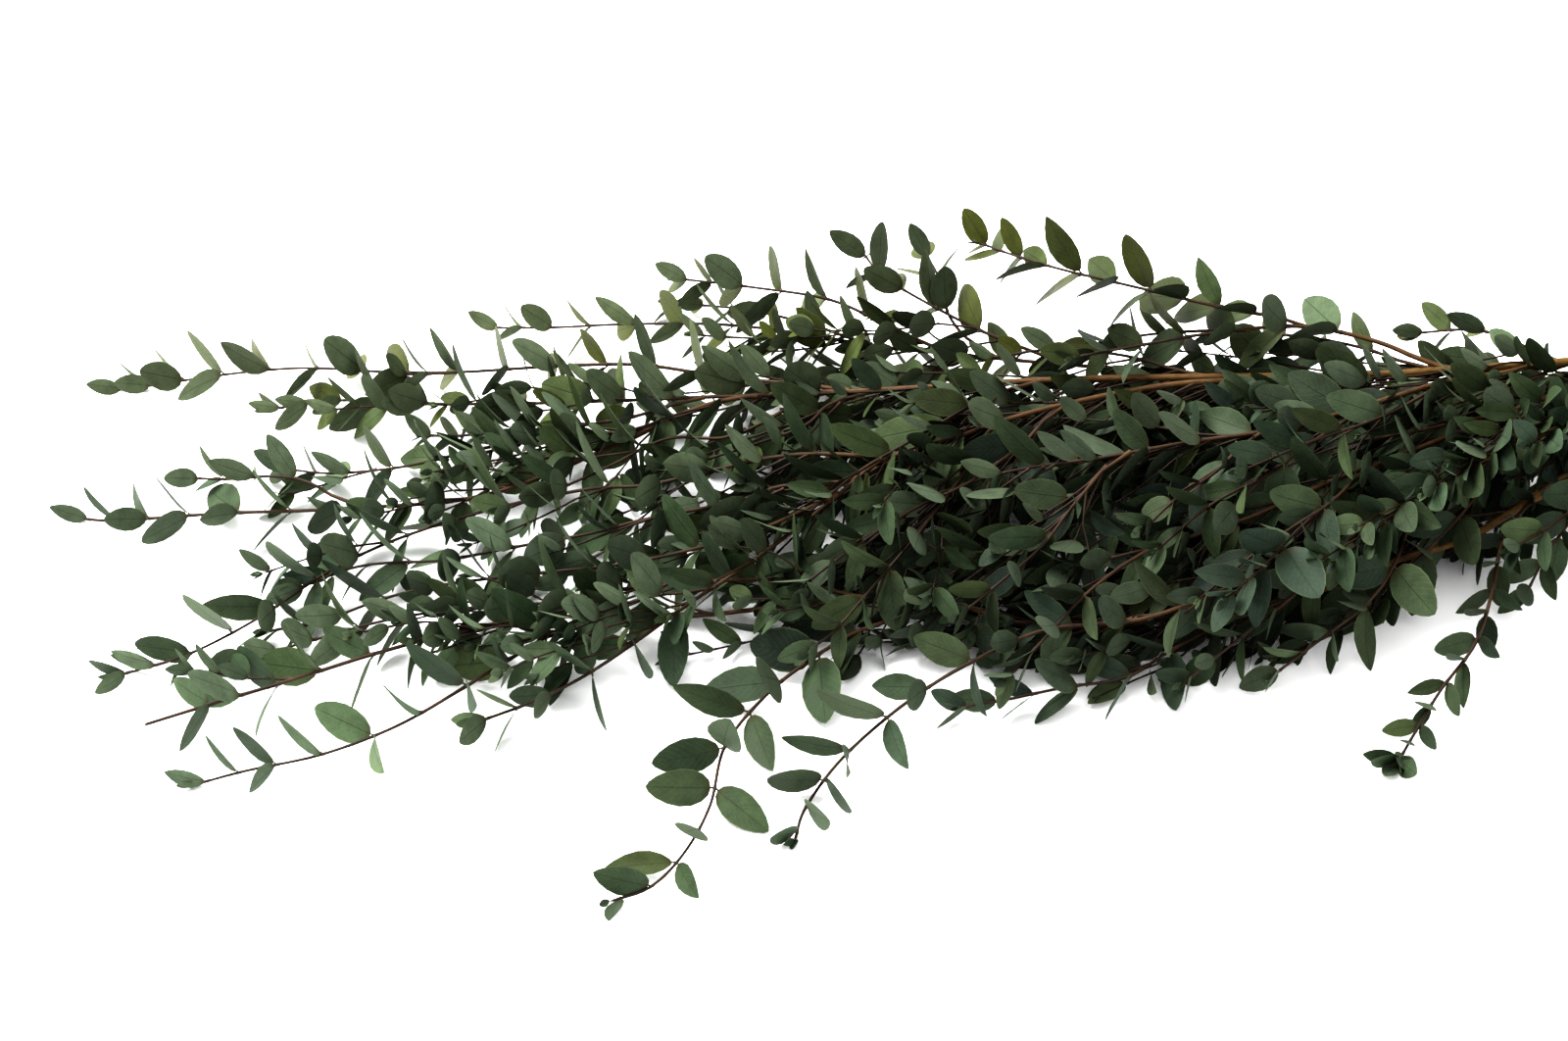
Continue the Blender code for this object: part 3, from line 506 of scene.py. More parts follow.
def leaf_stations(name, length, bare_start=BARE_START):
    """Distances from the stem's base of its leaf pairs, base first."""
    back = BARE_TIP.get(name, 0) + FIRST_PAIR_FROM_TIP
    step = TIP_INTERNODE
    stations = []
    while back < min(length - bare_start, LEAFY_LENGTH.get(name, length)):
        stations.append(length - back)
        back += step * CLOSE_PAIRS.get(name, 1)
        step = min(INTERNODE, step * INTERNODE_GROWTH)
    return np.array(stations[::-1])


def direction_at(path, at):
    return unit(path[min(at + 1, len(path) - 1)] - path[max(at - 1, 0)])


def fork(parent, at, smooth):
    """The line that shows: it leaves the middle of its parent and runs into its own route."""
    along = distance_along(smooth)
    return np.vstack([paths[parent][max(at - FORK_STEPS, 0)], smooth[along > FORK_LENGTH]])


def stem_shape(name, parent, thickness, scale, route):
    """One stem as the solids have it: seated on its parent, smooth, and bent clear of earlier stems."""
    route = np.array(route, float)
    parent_path = paths[parent]
    at = np.linalg.norm(parent_path - route[0], axis=1).argmin()
    tangent = direction_at(parent_path, at)
    parent_radius = girths[parent][at]
    side = route[1] - route[0]
    side = unit(side - side.dot(tangent) * tangent)
    if at == len(parent_path) - 1:
        side = tangent
        parent_radius = 0
    seat = parent_path[at] + side * (parent_radius + JOINT_GAP)
    elbow = seat + side * ELBOW * thickness[0] / 2
    path = smooth_path(np.vstack([elbow, route[1:]]))
    radii = tapered(thickness, np.linspace(0, 1, len(path)))
    path = bend_clear(path, radii, np.vstack(list(paths.values())), np.concatenate(list(girths.values())))
    along = distance_along(path)
    stations = leaf_stations(name, along[-1])
    knots = np.linspace(0, along[-1], round(along[-1] / KNOT_STEP) + 2)
    bends = read_path(path, along, knots)
    return {
        "line": fork(parent, at, path), "points": np.vstack([seat, bends]), "thickness": thickness,
        "widths": np.concatenate([radii[:1], np.interp(knots, along, radii)]), "radii": radii,
        "path": read_path(bends, knots, along), "length": along[-1],
        "roots": read_path(bends, knots, stations), "stations": stations, "scale": scale,
    }


def add_stem(name, shape):
    shapes[name] = shape
    paths[name] = shape["path"]
    girths[name] = shape["radii"]


paths = {"butt": butt_path}
girths = {"butt": butt_radii}
shapes = {}
for name, parent, thickness, scale, route in STEMS:
    add_stem(name, stem_shape(name, parent, thickness, scale, route))
solid_stems = list(shapes)

# The leaves' places
# Leaves grow in opposite pairs, each pair turned a quarter round from the last, smaller and closer towards
# the tip. Each one turns or shrinks a little until it lies clear of the wood and of the leaves already there.
# The solids hold one leaf of each pair. These come first, so that every solid leaf has its own here.
TIP_LEAF = 17.0
FULL_LEAF = 27.0
LEAF_GROWTH = 0.2
SIZE_SPREAD = 0.12
WIDTH_SHARE = 0.5
WIDE_LEAVES = {"spray_arch_tip": 0.64, "limb_arch": 0.6}
BLADE_THICKNESS = 0.6
ARCH = 0.08
ROOT_SINK = 0.1
TIP_ANGLE = math.radians(34)
TIP_REACH = 25.0
PAIR_WANDER = 0.16
WOBBLE = 0.18
LEAN = 0.2
ROLL = 0.3
SEED = 7
ANGLE_ALONG = ((-60, 120), (58, 46))
SKY_ALONG = ((-60, 120), (0.2, 0.6))
SKYWARD = {"spray_arch_tip": 1.3, "spray_near_big": 1.0}
TEST_SIDES = 6
TEST_ASIDE = (0.3, 0.2, 1.0)
TEST_SKIN = 0.15
OUTLINE = ((0.28, 0.9), (0.66, 0.86))
TRIES = ((0, 0, 0), (18, 0, 0), (-18, 0, 0), (0, -14, 25), (0, 14, -25), (36, 0, 20), (-36, 0, -20),
         (36, -16, 0), (-36, -16, 0), (56, 0, 0), (-56, 0, 0), (76, -10, 0), (-76, -10, 0), (0, -26, 60),
         (0, -26, -60))
SIZE_TRIES = (1.0, 0.86)


def stem_test(points, radii):
    """A plain tube round the knots, to test leaves and twigs against."""
    rings = []
    for i, (point, radius) in enumerate(zip(points, radii)):
        tangent = direction_at(points, i)
        side = unit(np.cross(tangent, TEST_ASIDE))
        other = np.cross(tangent, side)
        turns = np.arange(TEST_SIDES) * math.tau / TEST_SIDES
        way = np.cos(turns)[:, None] * side + np.sin(turns)[:, None] * other
        rings.append(point + (radius + TEST_SKIN) * way)
    faces = []
    for ring in range(len(points) - 1):
        for i in range(TEST_SIDES):
            a, b = ring * TEST_SIDES + i, ring * TEST_SIDES + (i + 1) % TEST_SIDES
            faces.append((a, b, b + TEST_SIDES, a + TEST_SIDES))
    verts = np.vstack(rings)
    return verts.min(axis=0), verts.max(axis=0), BVHTree.FromPolygons(verts.tolist(), faces)


def blade_surface(length, width_share, arch):
    """Vertices and triangles of one plain leaf, root at the origin, along +X with its upper face to +Z."""
    half = length * width_share / 2
    verts = [(-ROOT_SINK, 0, 0), (length, 0, -arch * length)]
    for side in (1, -1):
        for share, width in OUTLINE:
            verts.append((share * length, side * width * half, -arch * length * share**2))
    count = len(OUTLINE)
    left = range(2, 2 + count)
    right = range(2 + count, 2 + 2 * count)
    faces = [(0, right[0], left[0])]
    for a, b, c, d in zip(left, left[1:], right, right[1:]):
        faces += [(a, c, d), (a, d, b)]
    faces.append((left[-1], right[-1], 1))
    return np.array(verts), faces


def leaf_frame(direction, pair_axis, angle, twist, skyward):
    """The leaf's turn: along its own direction, its upper face turned to the tip and to the sky."""
    along = unit(math.cos(angle) * direction + math.sin(angle) * pair_axis)
    face = math.sin(angle) * direction - math.cos(angle) * pair_axis + np.array((0, 0, skyward))
    face = unit(face - face.dot(along) * along)
    across = np.cross(face, along)
    turned = math.cos(twist) * across + math.sin(twist) * face
    return np.stack([along, turned, np.cross(along, turned)], axis=1)


def leaf_test(verts, faces, normal, thickness):
    """The thickened leaf with its gap, to test it against others."""
    half = thickness / 2 + JOINT_GAP / 2
    both = np.vstack([verts + normal * half, verts - normal * half])
    count = len(verts)
    rim = [0, *range(2, 2 + (count - 2) // 2), 1, *reversed(range(2 + (count - 2) // 2, count))]
    walls = [(a, b, b + count, a + count) for a, b in zip(rim, rim[1:] + rim[:1])]
    polygons = list(faces) + [tuple(v + count for v in face) for face in faces] + walls
    return both.min(axis=0), both.max(axis=0), BVHTree.FromPolygons(both.tolist(), polygons)


def stand(owner, test):
    """Puts a stem or a leaf where later ones are tested against it."""
    low, high, tree = test
    standing["owners"].append(owner)
    standing["trees"].append(tree)
    standing["boxes"] = np.vstack([standing["boxes"], [*low, *high]])


def meets(test, spared):
    low, high, tree = test
    boxes = standing["boxes"]
    near = np.nonzero((boxes[:, :3] <= high).all(axis=1) & (boxes[:, 3:] >= low).all(axis=1))[0]
    return any(tree.overlap(standing["trees"][i]) for i in near if standing["owners"][i] not in spared)


def add_leaf(name, root, turn, length, arch=0.0, width=WIDTH_SHARE, bud=0.0):
    leaf = {"root": root, "turn": turn, "length": length, "arch": arch, "width": width, "bud": bud}
    leaves[name].append(leaf)


def lay_leaves(name, seed, wanted, thickness=BLADE_THICKNESS):
    """Lays those leaves of one stem for which wanted(pair number, side, pair count) is true."""
    shape = shapes[name]
    roots, points = shape["roots"], shape["points"]
    draws = random.Random(seed)
    turn = draws.uniform(0, math.pi)
    width_share = WIDE_LEAVES.get(name, WIDTH_SHARE)
    for k, (root, station) in enumerate(zip(roots, shape["stations"])):
        ahead = roots[k + 1] if k + 1 < len(roots) else points[-1]
        behind = roots[k - 1] if k else points[0]
        direction = unit(ahead - behind)
        level = unit(np.cross(direction, (0, 0, 1.0)))
        upright = np.cross(level, direction)
        turn += math.pi / 2 + draws.gauss(0, PAIR_WANDER)
        from_tip = shape["length"] - station
        near_tip = math.exp(-from_tip / TIP_REACH)
        open_angle = math.radians(np.interp(root[0], *ANGLE_ALONG))
        skyward = SKYWARD.get(name, np.interp(root[0], *SKY_ALONG))
        for side in (0, 1):
            wobble, lean, size, roll, sag = [draws.uniform(-1, 1) for _ in range(5)]
            if not wanted(k, side, len(roots)):
                continue
            aged = min(FULL_LEAF, TIP_LEAF + LEAF_GROWTH * from_tip)
            full = aged * shape["scale"] * (1 + SIZE_SPREAD * size)
            for shrink, (spin, tilt, twist) in [(s, t) for s in SIZE_TRIES for t in TRIES]:
                around = turn + side * math.pi + math.radians(spin) + WOBBLE * wobble
                axis = math.cos(around) * level + math.sin(around) * upright
                angle = open_angle + (TIP_ANGLE - open_angle) * near_tip + math.radians(tilt) + LEAN * lean
                verts, faces = blade_surface(full * shrink, width_share, ARCH * (1 + sag))
                turned = leaf_frame(direction, axis, angle, math.radians(twist) + ROLL * roll, skyward)
                verts = verts @ turned.T + root
                if verts[:, 2].min() < BLADE_THICKNESS / 2:
                    continue
                test = leaf_test(verts, faces, turned[:, 2], thickness)
                if meets(test, (name, (name, k))):
                    continue
                stand((name, k), test)
                add_leaf(name, root, turned, full * shrink, ARCH * (1 + sag), width_share)
                break


def in_solids(k, side, count):
    """The leaves that the solids have: one of each pair, from alternate sides, and both at the tip."""
    return side != k % 2 or k == count - 1


standing = {"owners": [], "trees": [], "boxes": np.empty((0, 6))}
leaves = {name: [] for name in shapes}
stand("butt", stem_test(butt_path, butt_radii))
for name, shape in shapes.items():
    stand(name, stem_test(shape["points"], shape["widths"]))
for number, name in enumerate(solid_stems):
    lay_leaves(name, SEED + number, in_solids)

# The inner shoots
# Short leafy twigs that spring from the sides of the limbs, finer than the solids carry: few at the fanned
# tips, many where the limbs run together. Each is kept only if it lies clear of what is already there.
TWIG_SEED = 23
TWIG_START = 12.0
BUTT_BARE = 46.0
TWIG_TRIES = 6
# Side twigs, hanging ones that close the mass, then risen ones at the right. Each round has its chance along
# X, its spacing, its angles off the limb and round it, and the share that hangs off limbs above a height.
TWIG_ROUNDS = (
    {"chance": ((-240, -160, -60, 20, 80), (0.05, 0.3, 0.7, 0.8, 1.0)), "spacing": 9.0, "angle": (14, 44),
     "turn": (0.0, 1.3), "hanging": 0.92, "above": 24.0},
    {"chance": ((0, 60), (0.0, 1.0)), "spacing": 7.5, "angle": (22, 65), "turn": (0.5, 1.5), "hanging": 1.0,
     "above": 6.0},
    {"chance": ((220, 250), (0.0, 0.8)), "spacing": 10.0, "angle": (10, 34), "turn": (0.2, 1.3),
     "hanging": 0.0, "above": 6.0},
)
TWIG_LENGTH = ((-200, 0, 120), (34, 50, 62))
TWIG_SPREAD = 0.3
BARE_OF_TWIGS = ("limb_arch", "spray_arch_tip", "spray_back_right", "spray_right_back", "limb_near")
TWIG_LOWEST = 3.0
TWIG_HIGHEST = ((-200, 0, 120, 220, 335), (16, 28, 40, 46, 58))
TWIG_THICKNESS = (1.1, 0.7)
TWIG_SCALE = (0.72, 1.05)
TWIG_BARE_START = 4.0
TWIG_STEPS = 5
TWIG_RETURN = 0.6
TWIG_LEAF_SEED = 100
TEST_EVERY = 3
TWIG_FROM_TIP = 34.0
THIN_TEST = 0.15
FRONT_EDGE = ((-300, -150), (-100, -120), (-40, -92), (80, -92), (110, -114), (160, -108),
              (205, -88), (243, -52), (263, -34), (335, -30))
BACK_EDGE = ((-300, 90), (-60, 70), (-30, 108), (80, 100), (95, 66), (335, 54))


def twig_shape(name, at, way_out, draws):
    """A twig from one place on a limb, bending back to its limb's direction, or None where it won't fit."""
    path = paths[name]
    tangent = direction_at(path, at)
    level = unit(np.cross(tangent, (0, 0, 1.0)))
    around = draws.uniform(*way_out["turn"])
    hangs = path[at][2] > way_out["above"] and draws.random() < way_out["hanging"]
    rise = math.sin(around) * (-1 if hangs else 1)
    side = math.cos(around) * draws.choice((-1, 1)) * level + rise * np.cross(level, tangent)
    angle = math.radians(draws.uniform(*way_out["angle"]))
    length = np.interp(path[at][0], *TWIG_LENGTH) * (1 + draws.uniform(-TWIG_SPREAD, TWIG_SPREAD))
    route = [path[at] + side * girths[name][at]]
    for step in range(TWIG_STEPS):
        lean = angle * (1 - TWIG_RETURN * step / TWIG_STEPS)
        way = math.cos(lean) * tangent + math.sin(lean) * side
        route.append(route[-1] + way * length / TWIG_STEPS)
    route = np.array(route)
    highest = np.maximum(np.interp(route[1:, 0], *TWIG_HIGHEST), path[at][2])
    route[1:, 2] = np.clip(route[1:, 2], TWIG_LOWEST, highest)
    front = np.interp(route[:, 0], *zip(*FRONT_EDGE))
    back = np.interp(route[:, 0], *zip(*BACK_EDGE))
    inside = (route[:, 1] > front) & (route[:, 1] < back)
    smooth = smooth_path(route)
    radii = tapered(TWIG_THICKNESS, np.linspace(0, 1, len(smooth)))
    along = distance_along(smooth)
    clear = along > SEATED_LENGTH
    test = stem_test(smooth[clear][::TEST_EVERY], radii[clear][::TEST_EVERY])
    if not inside.all() or meets(test, (name,)):
        return None
    stations = leaf_stations("twig", along[-1], TWIG_BARE_START)
    shape = {"line": fork(name, at, smooth), "points": smooth, "thickness": TWIG_THICKNESS, "radii": radii,
             "path": smooth, "length": along[-1], "roots": read_path(smooth, along, stations),
             "stations": stations, "scale": draws.uniform(*TWIG_SCALE)}
    return shape, test


for number, name in enumerate(solid_stems):
    lay_leaves(name, SEED + number, lambda k, side, count: not in_solids(k, side, count))
twig_draws = random.Random(TWIG_SEED)
twigs = []
for way_out in TWIG_ROUNDS:
    for name in ("butt", *solid_stems):
        if name in BARE_OF_TWIGS:
            continue
        first = BUTT_BARE if name == "butt" else TWIG_START
        last = distance_along(paths[name])[-1] - TWIG_FROM_TIP
        for distance in np.arange(first, last, way_out["spacing"]):
            at = round(distance / PATH_STEP)
            if twig_draws.random() > np.interp(paths[name][at][0], *way_out["chance"]):
                continue
            for _ in range(TWIG_TRIES):
                grew = twig_shape(name, at, way_out, twig_draws)
                if grew is None:
                    continue
                twigs.append(f"twig_{len(twigs) + 1:03d}")
                add_stem(twigs[-1], grew[0])
                stand(twigs[-1], grew[1])
                leaves[twigs[-1]] = []
                break
for number, name in enumerate(twigs):
    lay_leaves(name, TWIG_LEAF_SEED + number, lambda k, side, count: True, THIN_TEST)

# The young tips
# At the end of each growing shoot stand a pair of small young leaves and a pair of bud scales. The near limb
# ends in a rosette of larger leaves as well. The low limb's end is a broken bare twig and has none.
YOUNG_LEAF = (6.0, 9.0)
YOUNG_ANGLE = (14, 30)
BUD_LEAF = 3.6
YOUNG_SKYWARD = 0.6
YOUNG_CLEAR = 6.0
YOUNG_DOWN = -0.3
# Each leaf of a rosette: length, angle off the stem, and how far round it from the side over the top
ROSETTE = {"limb_near": ((16.0, 46, 5), (16.0, 46, 175), (17.0, 34, 50), (16.0, 34, 130), (14.0, 22, 90),
                         (11.0, 64, 25), (11.0, 64, 155))}
tip_draws = random.Random(SEED)
for name, shape in shapes.items():
    if name in BARE_TIP:
        continue
    direction = direction_at(shape["path"], len(shape["path"]) - 1)
    level = unit(np.cross(direction, (0, 0, 1.0)))
    upright = np.cross(level, direction)
    turn = tip_draws.uniform(0, math.pi)
    young = [(size, angle, math.radians(around)) for size, angle, around in ROSETTE.get(name, ())]
    pairs = ((tip_draws.uniform(*YOUNG_LEAF) * shape["scale"], tip_draws.uniform(*YOUNG_ANGLE)),
             (BUD_LEAF, YOUNG_ANGLE[0]))
    for pair, (size, angle) in enumerate(pairs):
        young += [(size, angle, turn + pair * math.pi / 2 + side * math.pi) for side in (0, 1)]
    for size, angle, around in young:
        axis = math.cos(around) * level + math.sin(around) * upright
        if axis[2] < YOUNG_DOWN and shape["path"][-1][2] < YOUNG_CLEAR:
            continue
        turned = leaf_frame(direction, axis, math.radians(angle), 0, YOUNG_SKYWARD)
        add_leaf(name, shape["path"][-1], turned, size, bud=float(size == BUD_LEAF))

# The wood of the stems
# Each stem shows as one smooth tube that starts inside the wood it grows from, with a collar there and a
# slight dark swelling at each pair of leaves.
LINE_STEP = 2.6
COLLAR = 0.45
COLLAR_LENGTH = 3.0
SWELLING = 0.16
SWELLING_LENGTH = 0.9
FINE_STEP = 0.25
LEAST_STEP = 0.3
TIP_CLEAR = 1.2
TIP_ROUND = 1.0
TIP_SHARE = 0.45
THICK_STEM = 3.0
THICK_SIDES = 10
THIN_SIDES = 7
INNER_SIDES = 5
WOOD_SHARP = math.radians(75)
shoot_bark = bark_material("smooth shoot bark", "#28190e", "#493217", "#60471b",
                           {"around": 2.2, "stretch": 0.12, "patch_mm": 14, "depth_mm": 0.12,
                            "knot_colour": "#24170f"})


def stem_line(shape):
    """The stem's centre line with its radii, its dark knots, and where each pair of leaves stands on it."""
    line = smooth_path(shape["line"])
    along = distance_along(line)
    fine = np.arange(0, along[-1], FINE_STEP)
    fine_line = read_path(line, along, fine)
    nodes = np.array([fine[np.linalg.norm(fine_line - root, axis=1).argmin()] for root in shape["roots"]])
    stops = [np.arange(0, along[-1] - TIP_CLEAR, LINE_STEP), [along[-1] - TIP_ROUND, along[-1]]]
    stops += [nodes - SWELLING_LENGTH, nodes, nodes + SWELLING_LENGTH]
    stops = np.unique(np.clip(np.concatenate(stops), 0, along[-1]))
    stops = stops[np.concatenate([[True], np.diff(stops) > LEAST_STEP])]
    radii = tapered(shape["thickness"], stops / along[-1])
    near = 0 * stops
    if len(nodes):
        near = np.exp(-(((stops[:, None] - nodes[None]) / SWELLING_LENGTH) ** 2)).sum(axis=1)
    radii = radii * (1 + COLLAR * np.exp(-stops / COLLAR_LENGTH)) + SWELLING * near
    radii[-1] *= TIP_SHARE
    return read_path(line, along, stops), radii, np.clip(near, 0, 1), read_path(line, along, nodes)


lines = {name: stem_line(shape) for name, shape in shapes.items()}
for name in solid_stems:
    sides = THICK_SIDES if shapes[name]["thickness"][0] > THICK_STEM else THIN_SIDES
    wood = grown(name + "_stem", wood_line(name, [lines[name][:3]]), wood_tube,
                 {"Sides": sides, "Bark": shoot_bark})
    wood.data.set_sharp_from_angle(angle=WOOD_SHARP)
    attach(wood, "root")
    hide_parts(name)
inner_lines = [lines[name][:3] for name in shapes if name not in solid_stems]
inner_wood = grown("inner_shoots_stems", wood_line("inner shoots", inner_lines), wood_tube,
                   {"Sides": INNER_SIDES, "Bark": shoot_bark})
inner_wood.data.set_sharp_from_angle(angle=WOOD_SHARP)
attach(inner_wood, "root")

# The leaves
# Thin oval blades on a short stalk, pointed or blunt at the tip, folded slightly along the midrib and
# arched. They are preserved leaves: matt to satin, olive to grey green, with a fine dark midrib, faint side
# veins and a dark base where the stalk joins.
LEAF_ROWS = 8
LEAF_COLUMNS = {1: 4, -1: 2}
STALK = 0.06
STALK_SIDES = 4
BLADE_PLUMP = 0.007
BASE_FULLNESS = 0.85
POLE_GAP = 0.0005
SMOOTH_ANGLE = math.radians(70)
SIDE_VEINS = 9.0
VEIN_SLANT = -2.6
PATCH_SIZE = 7
SPECK_SIZE = 0.9
LEAF_MIRROR = 0.15
WAVES = 7
STALK_MIDDLE = 0.62
STALK_LENGTH = 1.5
STALK_RADII = (0.021, 0.011)
FOLD_CHOICES = (0, 0, 1, 1, 2)
WIDEST = 0.45
WIDTH_SPREAD = (0.92, 1.08)
# Each form's arch, fold along the midrib, wave of the margin, width against its length, and how pointed it is
LEAF_FORMS = ((0.02, 0.06, 0.0, 1.0, 0.6), (0.03, 0.2, 0.0, 0.82, 0.72), (0.02, 0.1, 0.012, 1.18, 0.55),
              (0.09, 0.06, 0.015, 1.0, 0.62), (0.08, 0.24, -0.01, 0.78, 0.78), (0.1, 0.12, 0.0, 1.2, 0.54),
              (0.16, 0.1, 0.0, 0.96, 0.62), (0.18, 0.26, 0.015, 0.8, 0.72), (0.15, 0.08, -0.012, 1.14, 0.56))
ARCH_LEVELS = 3


def leaf_shape(name, arch, fold, wave, width, point):
    """One leaf of unit length along +X: two skins that meet at the margin, and its stalk."""
    shape = bmesh.new()
    uv = shape.loops.layers.uv.new("leaf")
    under = shape.faces.layers.float.new("under")
    shares = [(1 - math.cos(math.pi * i / LEAF_ROWS)) / 2 for i in range(LEAF_ROWS + 1)]
    for skin, columns in LEAF_COLUMNS.items():
        rows = []
        for share in shares:
            swell = math.sin(math.pi * min(share, 1 - POLE_GAP) ** BASE_FULLNESS)
            half = width * WIDTH_SHARE / 2 * swell**point
            x = STALK + (1 - STALK) * share
            row = []
            for column in range(columns + 1):
                across = 2 * column / columns - 1
                lift = (fold + 2 * wave * math.sin(WAVES * x)) * abs(across) * half
                plump = BLADE_PLUMP * (1 - abs(across)) * math.sqrt(swell)
                row.append(shape.verts.new((x, across * half, -arch * x * x + lift + skin * plump)))
            rows.append(row)
        for i in range(LEAF_ROWS):
            for j in range(columns):
                corners = [(i, j), (i + 1, j), (i + 1, j + 1), (i, j + 1)][::skin]
                face = shape.faces.new([rows[a][b] for a, b in corners])
                face[under] = 0 if skin == 1 else 1
                for loop, (a, b) in zip(face.loops, corners):
                    loop[uv].uv = (shares[a], b / columns)
    bmesh.ops.remove_doubles(shape, verts=shape.verts, dist=1e-4)
    lie = Matrix.Translation((STALK * STALK_MIDDLE, 0, 0)) @ Matrix.Rotation(math.radians(90), 4, "Y")
    stalk = bmesh.ops.create_cone(shape, cap_ends=True, segments=STALK_SIDES, radius1=STALK_RADII[0],
                                  radius2=STALK_RADII[1], depth=STALK * STALK_LENGTH, matrix=lie)
    for face in {face for vert in stalk["verts"] for face in vert.link_faces}:
        face[under] = 0
        for loop in face.loops:
            loop[uv].uv = (0, 0.5)
    bmesh.ops.recalc_face_normals(shape, faces=shape.faces)
    mesh = bpy.data.meshes.new(name)
    shape.to_mesh(mesh)
    shape.free()
    mesh.shade_smooth()
    mesh.set_sharp_from_angle(angle=SMOOTH_ANGLE)
    return bpy.data.objects.new(name, mesh)


def leaf_tree():
    """Node tree that stands one of the leaf shapes on each point, turned and sized by the point's marks."""
    tree, given = new_grower("Leaves on points", "Leaves", ("Points", "Geometry"),
                             ("Leaf shapes", "Collection"), ("Blade", "Material"))
    shape = add_node(tree, "GeometryNodeCollectionInfo",
                     {"Separate Children": True, "Reset Children": True, "Collection": given["Leaf shapes"]})
    rotation = add_node(tree, "FunctionNodeEulerToRotation", {0: read_mark(tree, "turn", "FLOAT_VECTOR")})
    placed = add_node(tree, "GeometryNodeInstanceOnPoints",
                      {"Pick Instance": True, "Points": given["Points"], "Instance": shape,
                       "Instance Index": read_mark(tree, "kind", "INT"), "Rotation": rotation,
                       "Scale": read_mark(tree, "size", "FLOAT_VECTOR")})
    real = add_node(tree, "GeometryNodeRealizeInstances", {"Geometry": placed})
    painted = add_node(tree, "GeometryNodeSetMaterial", {"Geometry": real, "Material": given["Blade"]})
    add_node(tree, "NodeGroupOutput", {"Leaves": painted})
    return tree


def leaf_material(name, fresh, grey, olive, light, beneath):
    """Preserved eucalyptus leaf: satin skin that turns from green to grey or olive, with veins, darkened by
    painted shade from its depth mark.
    """
    material, tree = new_material(name, LEAF_MIRROR)
    place = place_on(tree)
    uv = add_node(tree, "ShaderNodeUVMap", uv_map="leaf")
    along, across = add_node(tree, "ShaderNodeSeparateXYZ", {0: uv}).outputs[:2]
    side = maths(tree, "ABSOLUTE", maths(tree, "MULTIPLY_ADD", across, 2.0, -1.0))
    rib = mapped(tree, side, (0.015, 0.06), 1, 0, "SMOOTHSTEP")
    margin = mapped(tree, side, (0.9, 0.99), 0, 1, "SMOOTHSTEP")
    slant = maths(tree, "MULTIPLY_ADD", side, VEIN_SLANT, maths(tree, "MULTIPLY", along, SIDE_VEINS))
    vein = mapped(tree, maths(tree, "PINGPONG", slant, 0.5), (0, 0.09), 1, 0, "SMOOTHSTEP")
    base = mapped(tree, along, (0.02, 0.18), 0.6, 0, "SMOOTHSTEP")
    patch = noise(tree, place, PATCH_SIZE * MM, 3, 0.6)
    speck = noise(tree, place, SPECK_SIZE * MM, 2)
    colour = mixed(tree, mark(tree, "grey"), fresh, grey)
    colour = mixed(tree, mark(tree, "olive"), colour, olive)
    colour = mixed(tree, mark(tree, "tint"), colour, light)
    shade = maths(tree, "MULTIPLY", mapped(tree, patch, (0.3, 0.7), 0.8, 1.2),
                  mapped(tree, speck, (0.3, 0.7), 0.93, 1.07))
    # Painted shade: the random mottle times the depth mark, which darkens leaves where the mass's shadow
    # falls.
    mottle_and_painted_shade = maths(tree, "MULTIPLY", shade, mark(tree, "depth"))
    under = mark(tree, "under")
    colour = mixed(tree, maths(tree, "MULTIPLY", under, 0.7), shaded(tree, colour, mottle_and_painted_shade),
                   shaded(tree, linear(beneath)[:3], mottle_and_painted_shade))
    for seen, strength, tint in ((vein, 0.1, "#66734f"), (rib, 0.45, "#222a1a"), (margin, 0.3, "#5f6a45")):
        colour = mixed(tree, maths(tree, "MULTIPLY", seen, strength), colour, tint)
    colour = mixed(tree, base, colour, "#35301c")
    rough = maths(tree, "MULTIPLY_ADD", under, 0.14, mapped(tree, patch, (0.3, 0.7), 0.5, 0.68))
    relief = maths(tree, "MULTIPLY_ADD", vein, 0.5, speck)
    finish_skin(tree, colour, rough, maths(tree, "MULTIPLY_ADD", rib, -1.4, relief), 0.5, 0.12)
    return material


# Where along X and Y the leaves are greyer or more olive, and where painted shade darkens them: the dense
# middle along X is darker and the ends lighter, some stems are darker or lighter, and the inner, lower leaves
# of the mass are darkened as if by its shadow.
GREY_ALONG = ((-200, 0, 120, 250), (0.1, 0.25, 0.7, 0.5))
PAINTED_SHADE_ALONG = ((-80, 40, 130, 240), (1.1, 0.95, 0.82, 1.05))
INNER_ALONG = ((-40, 100), (0.0, 1.0))
INNER_ACROSS = ((-105, -80, 40, 56), (0.0, 1.0, 1.0, 0.0))
INNER_SHADE = ((6, 42), (0.7, 0.08))
OLIVE_ACROSS = ((-20, 40, 75), (0.05, 0.3, 1.0))
STEM_SHADE = {"limb_near": 0.85, "spray_near_big": 0.8, "limb_arch": 1.05, "spray_arch_tip": 1.05}
RAISE_ROUNDS = 12
RAISE_STEP = 0.12
LEAF_LOWEST = 0.5
COLOUR_SPREAD = 0.2
TINT_MOST = 0.45
DARKEST = 0.5
LEAF_MARKS = (("turn", "FLOAT_VECTOR"), ("size", "FLOAT_VECTOR"), ("kind", "INT"), ("grey", "FLOAT"),
              ("olive", "FLOAT"), ("tint", "FLOAT"), ("depth", "FLOAT"))
DEPTH_SPREAD = 0.15


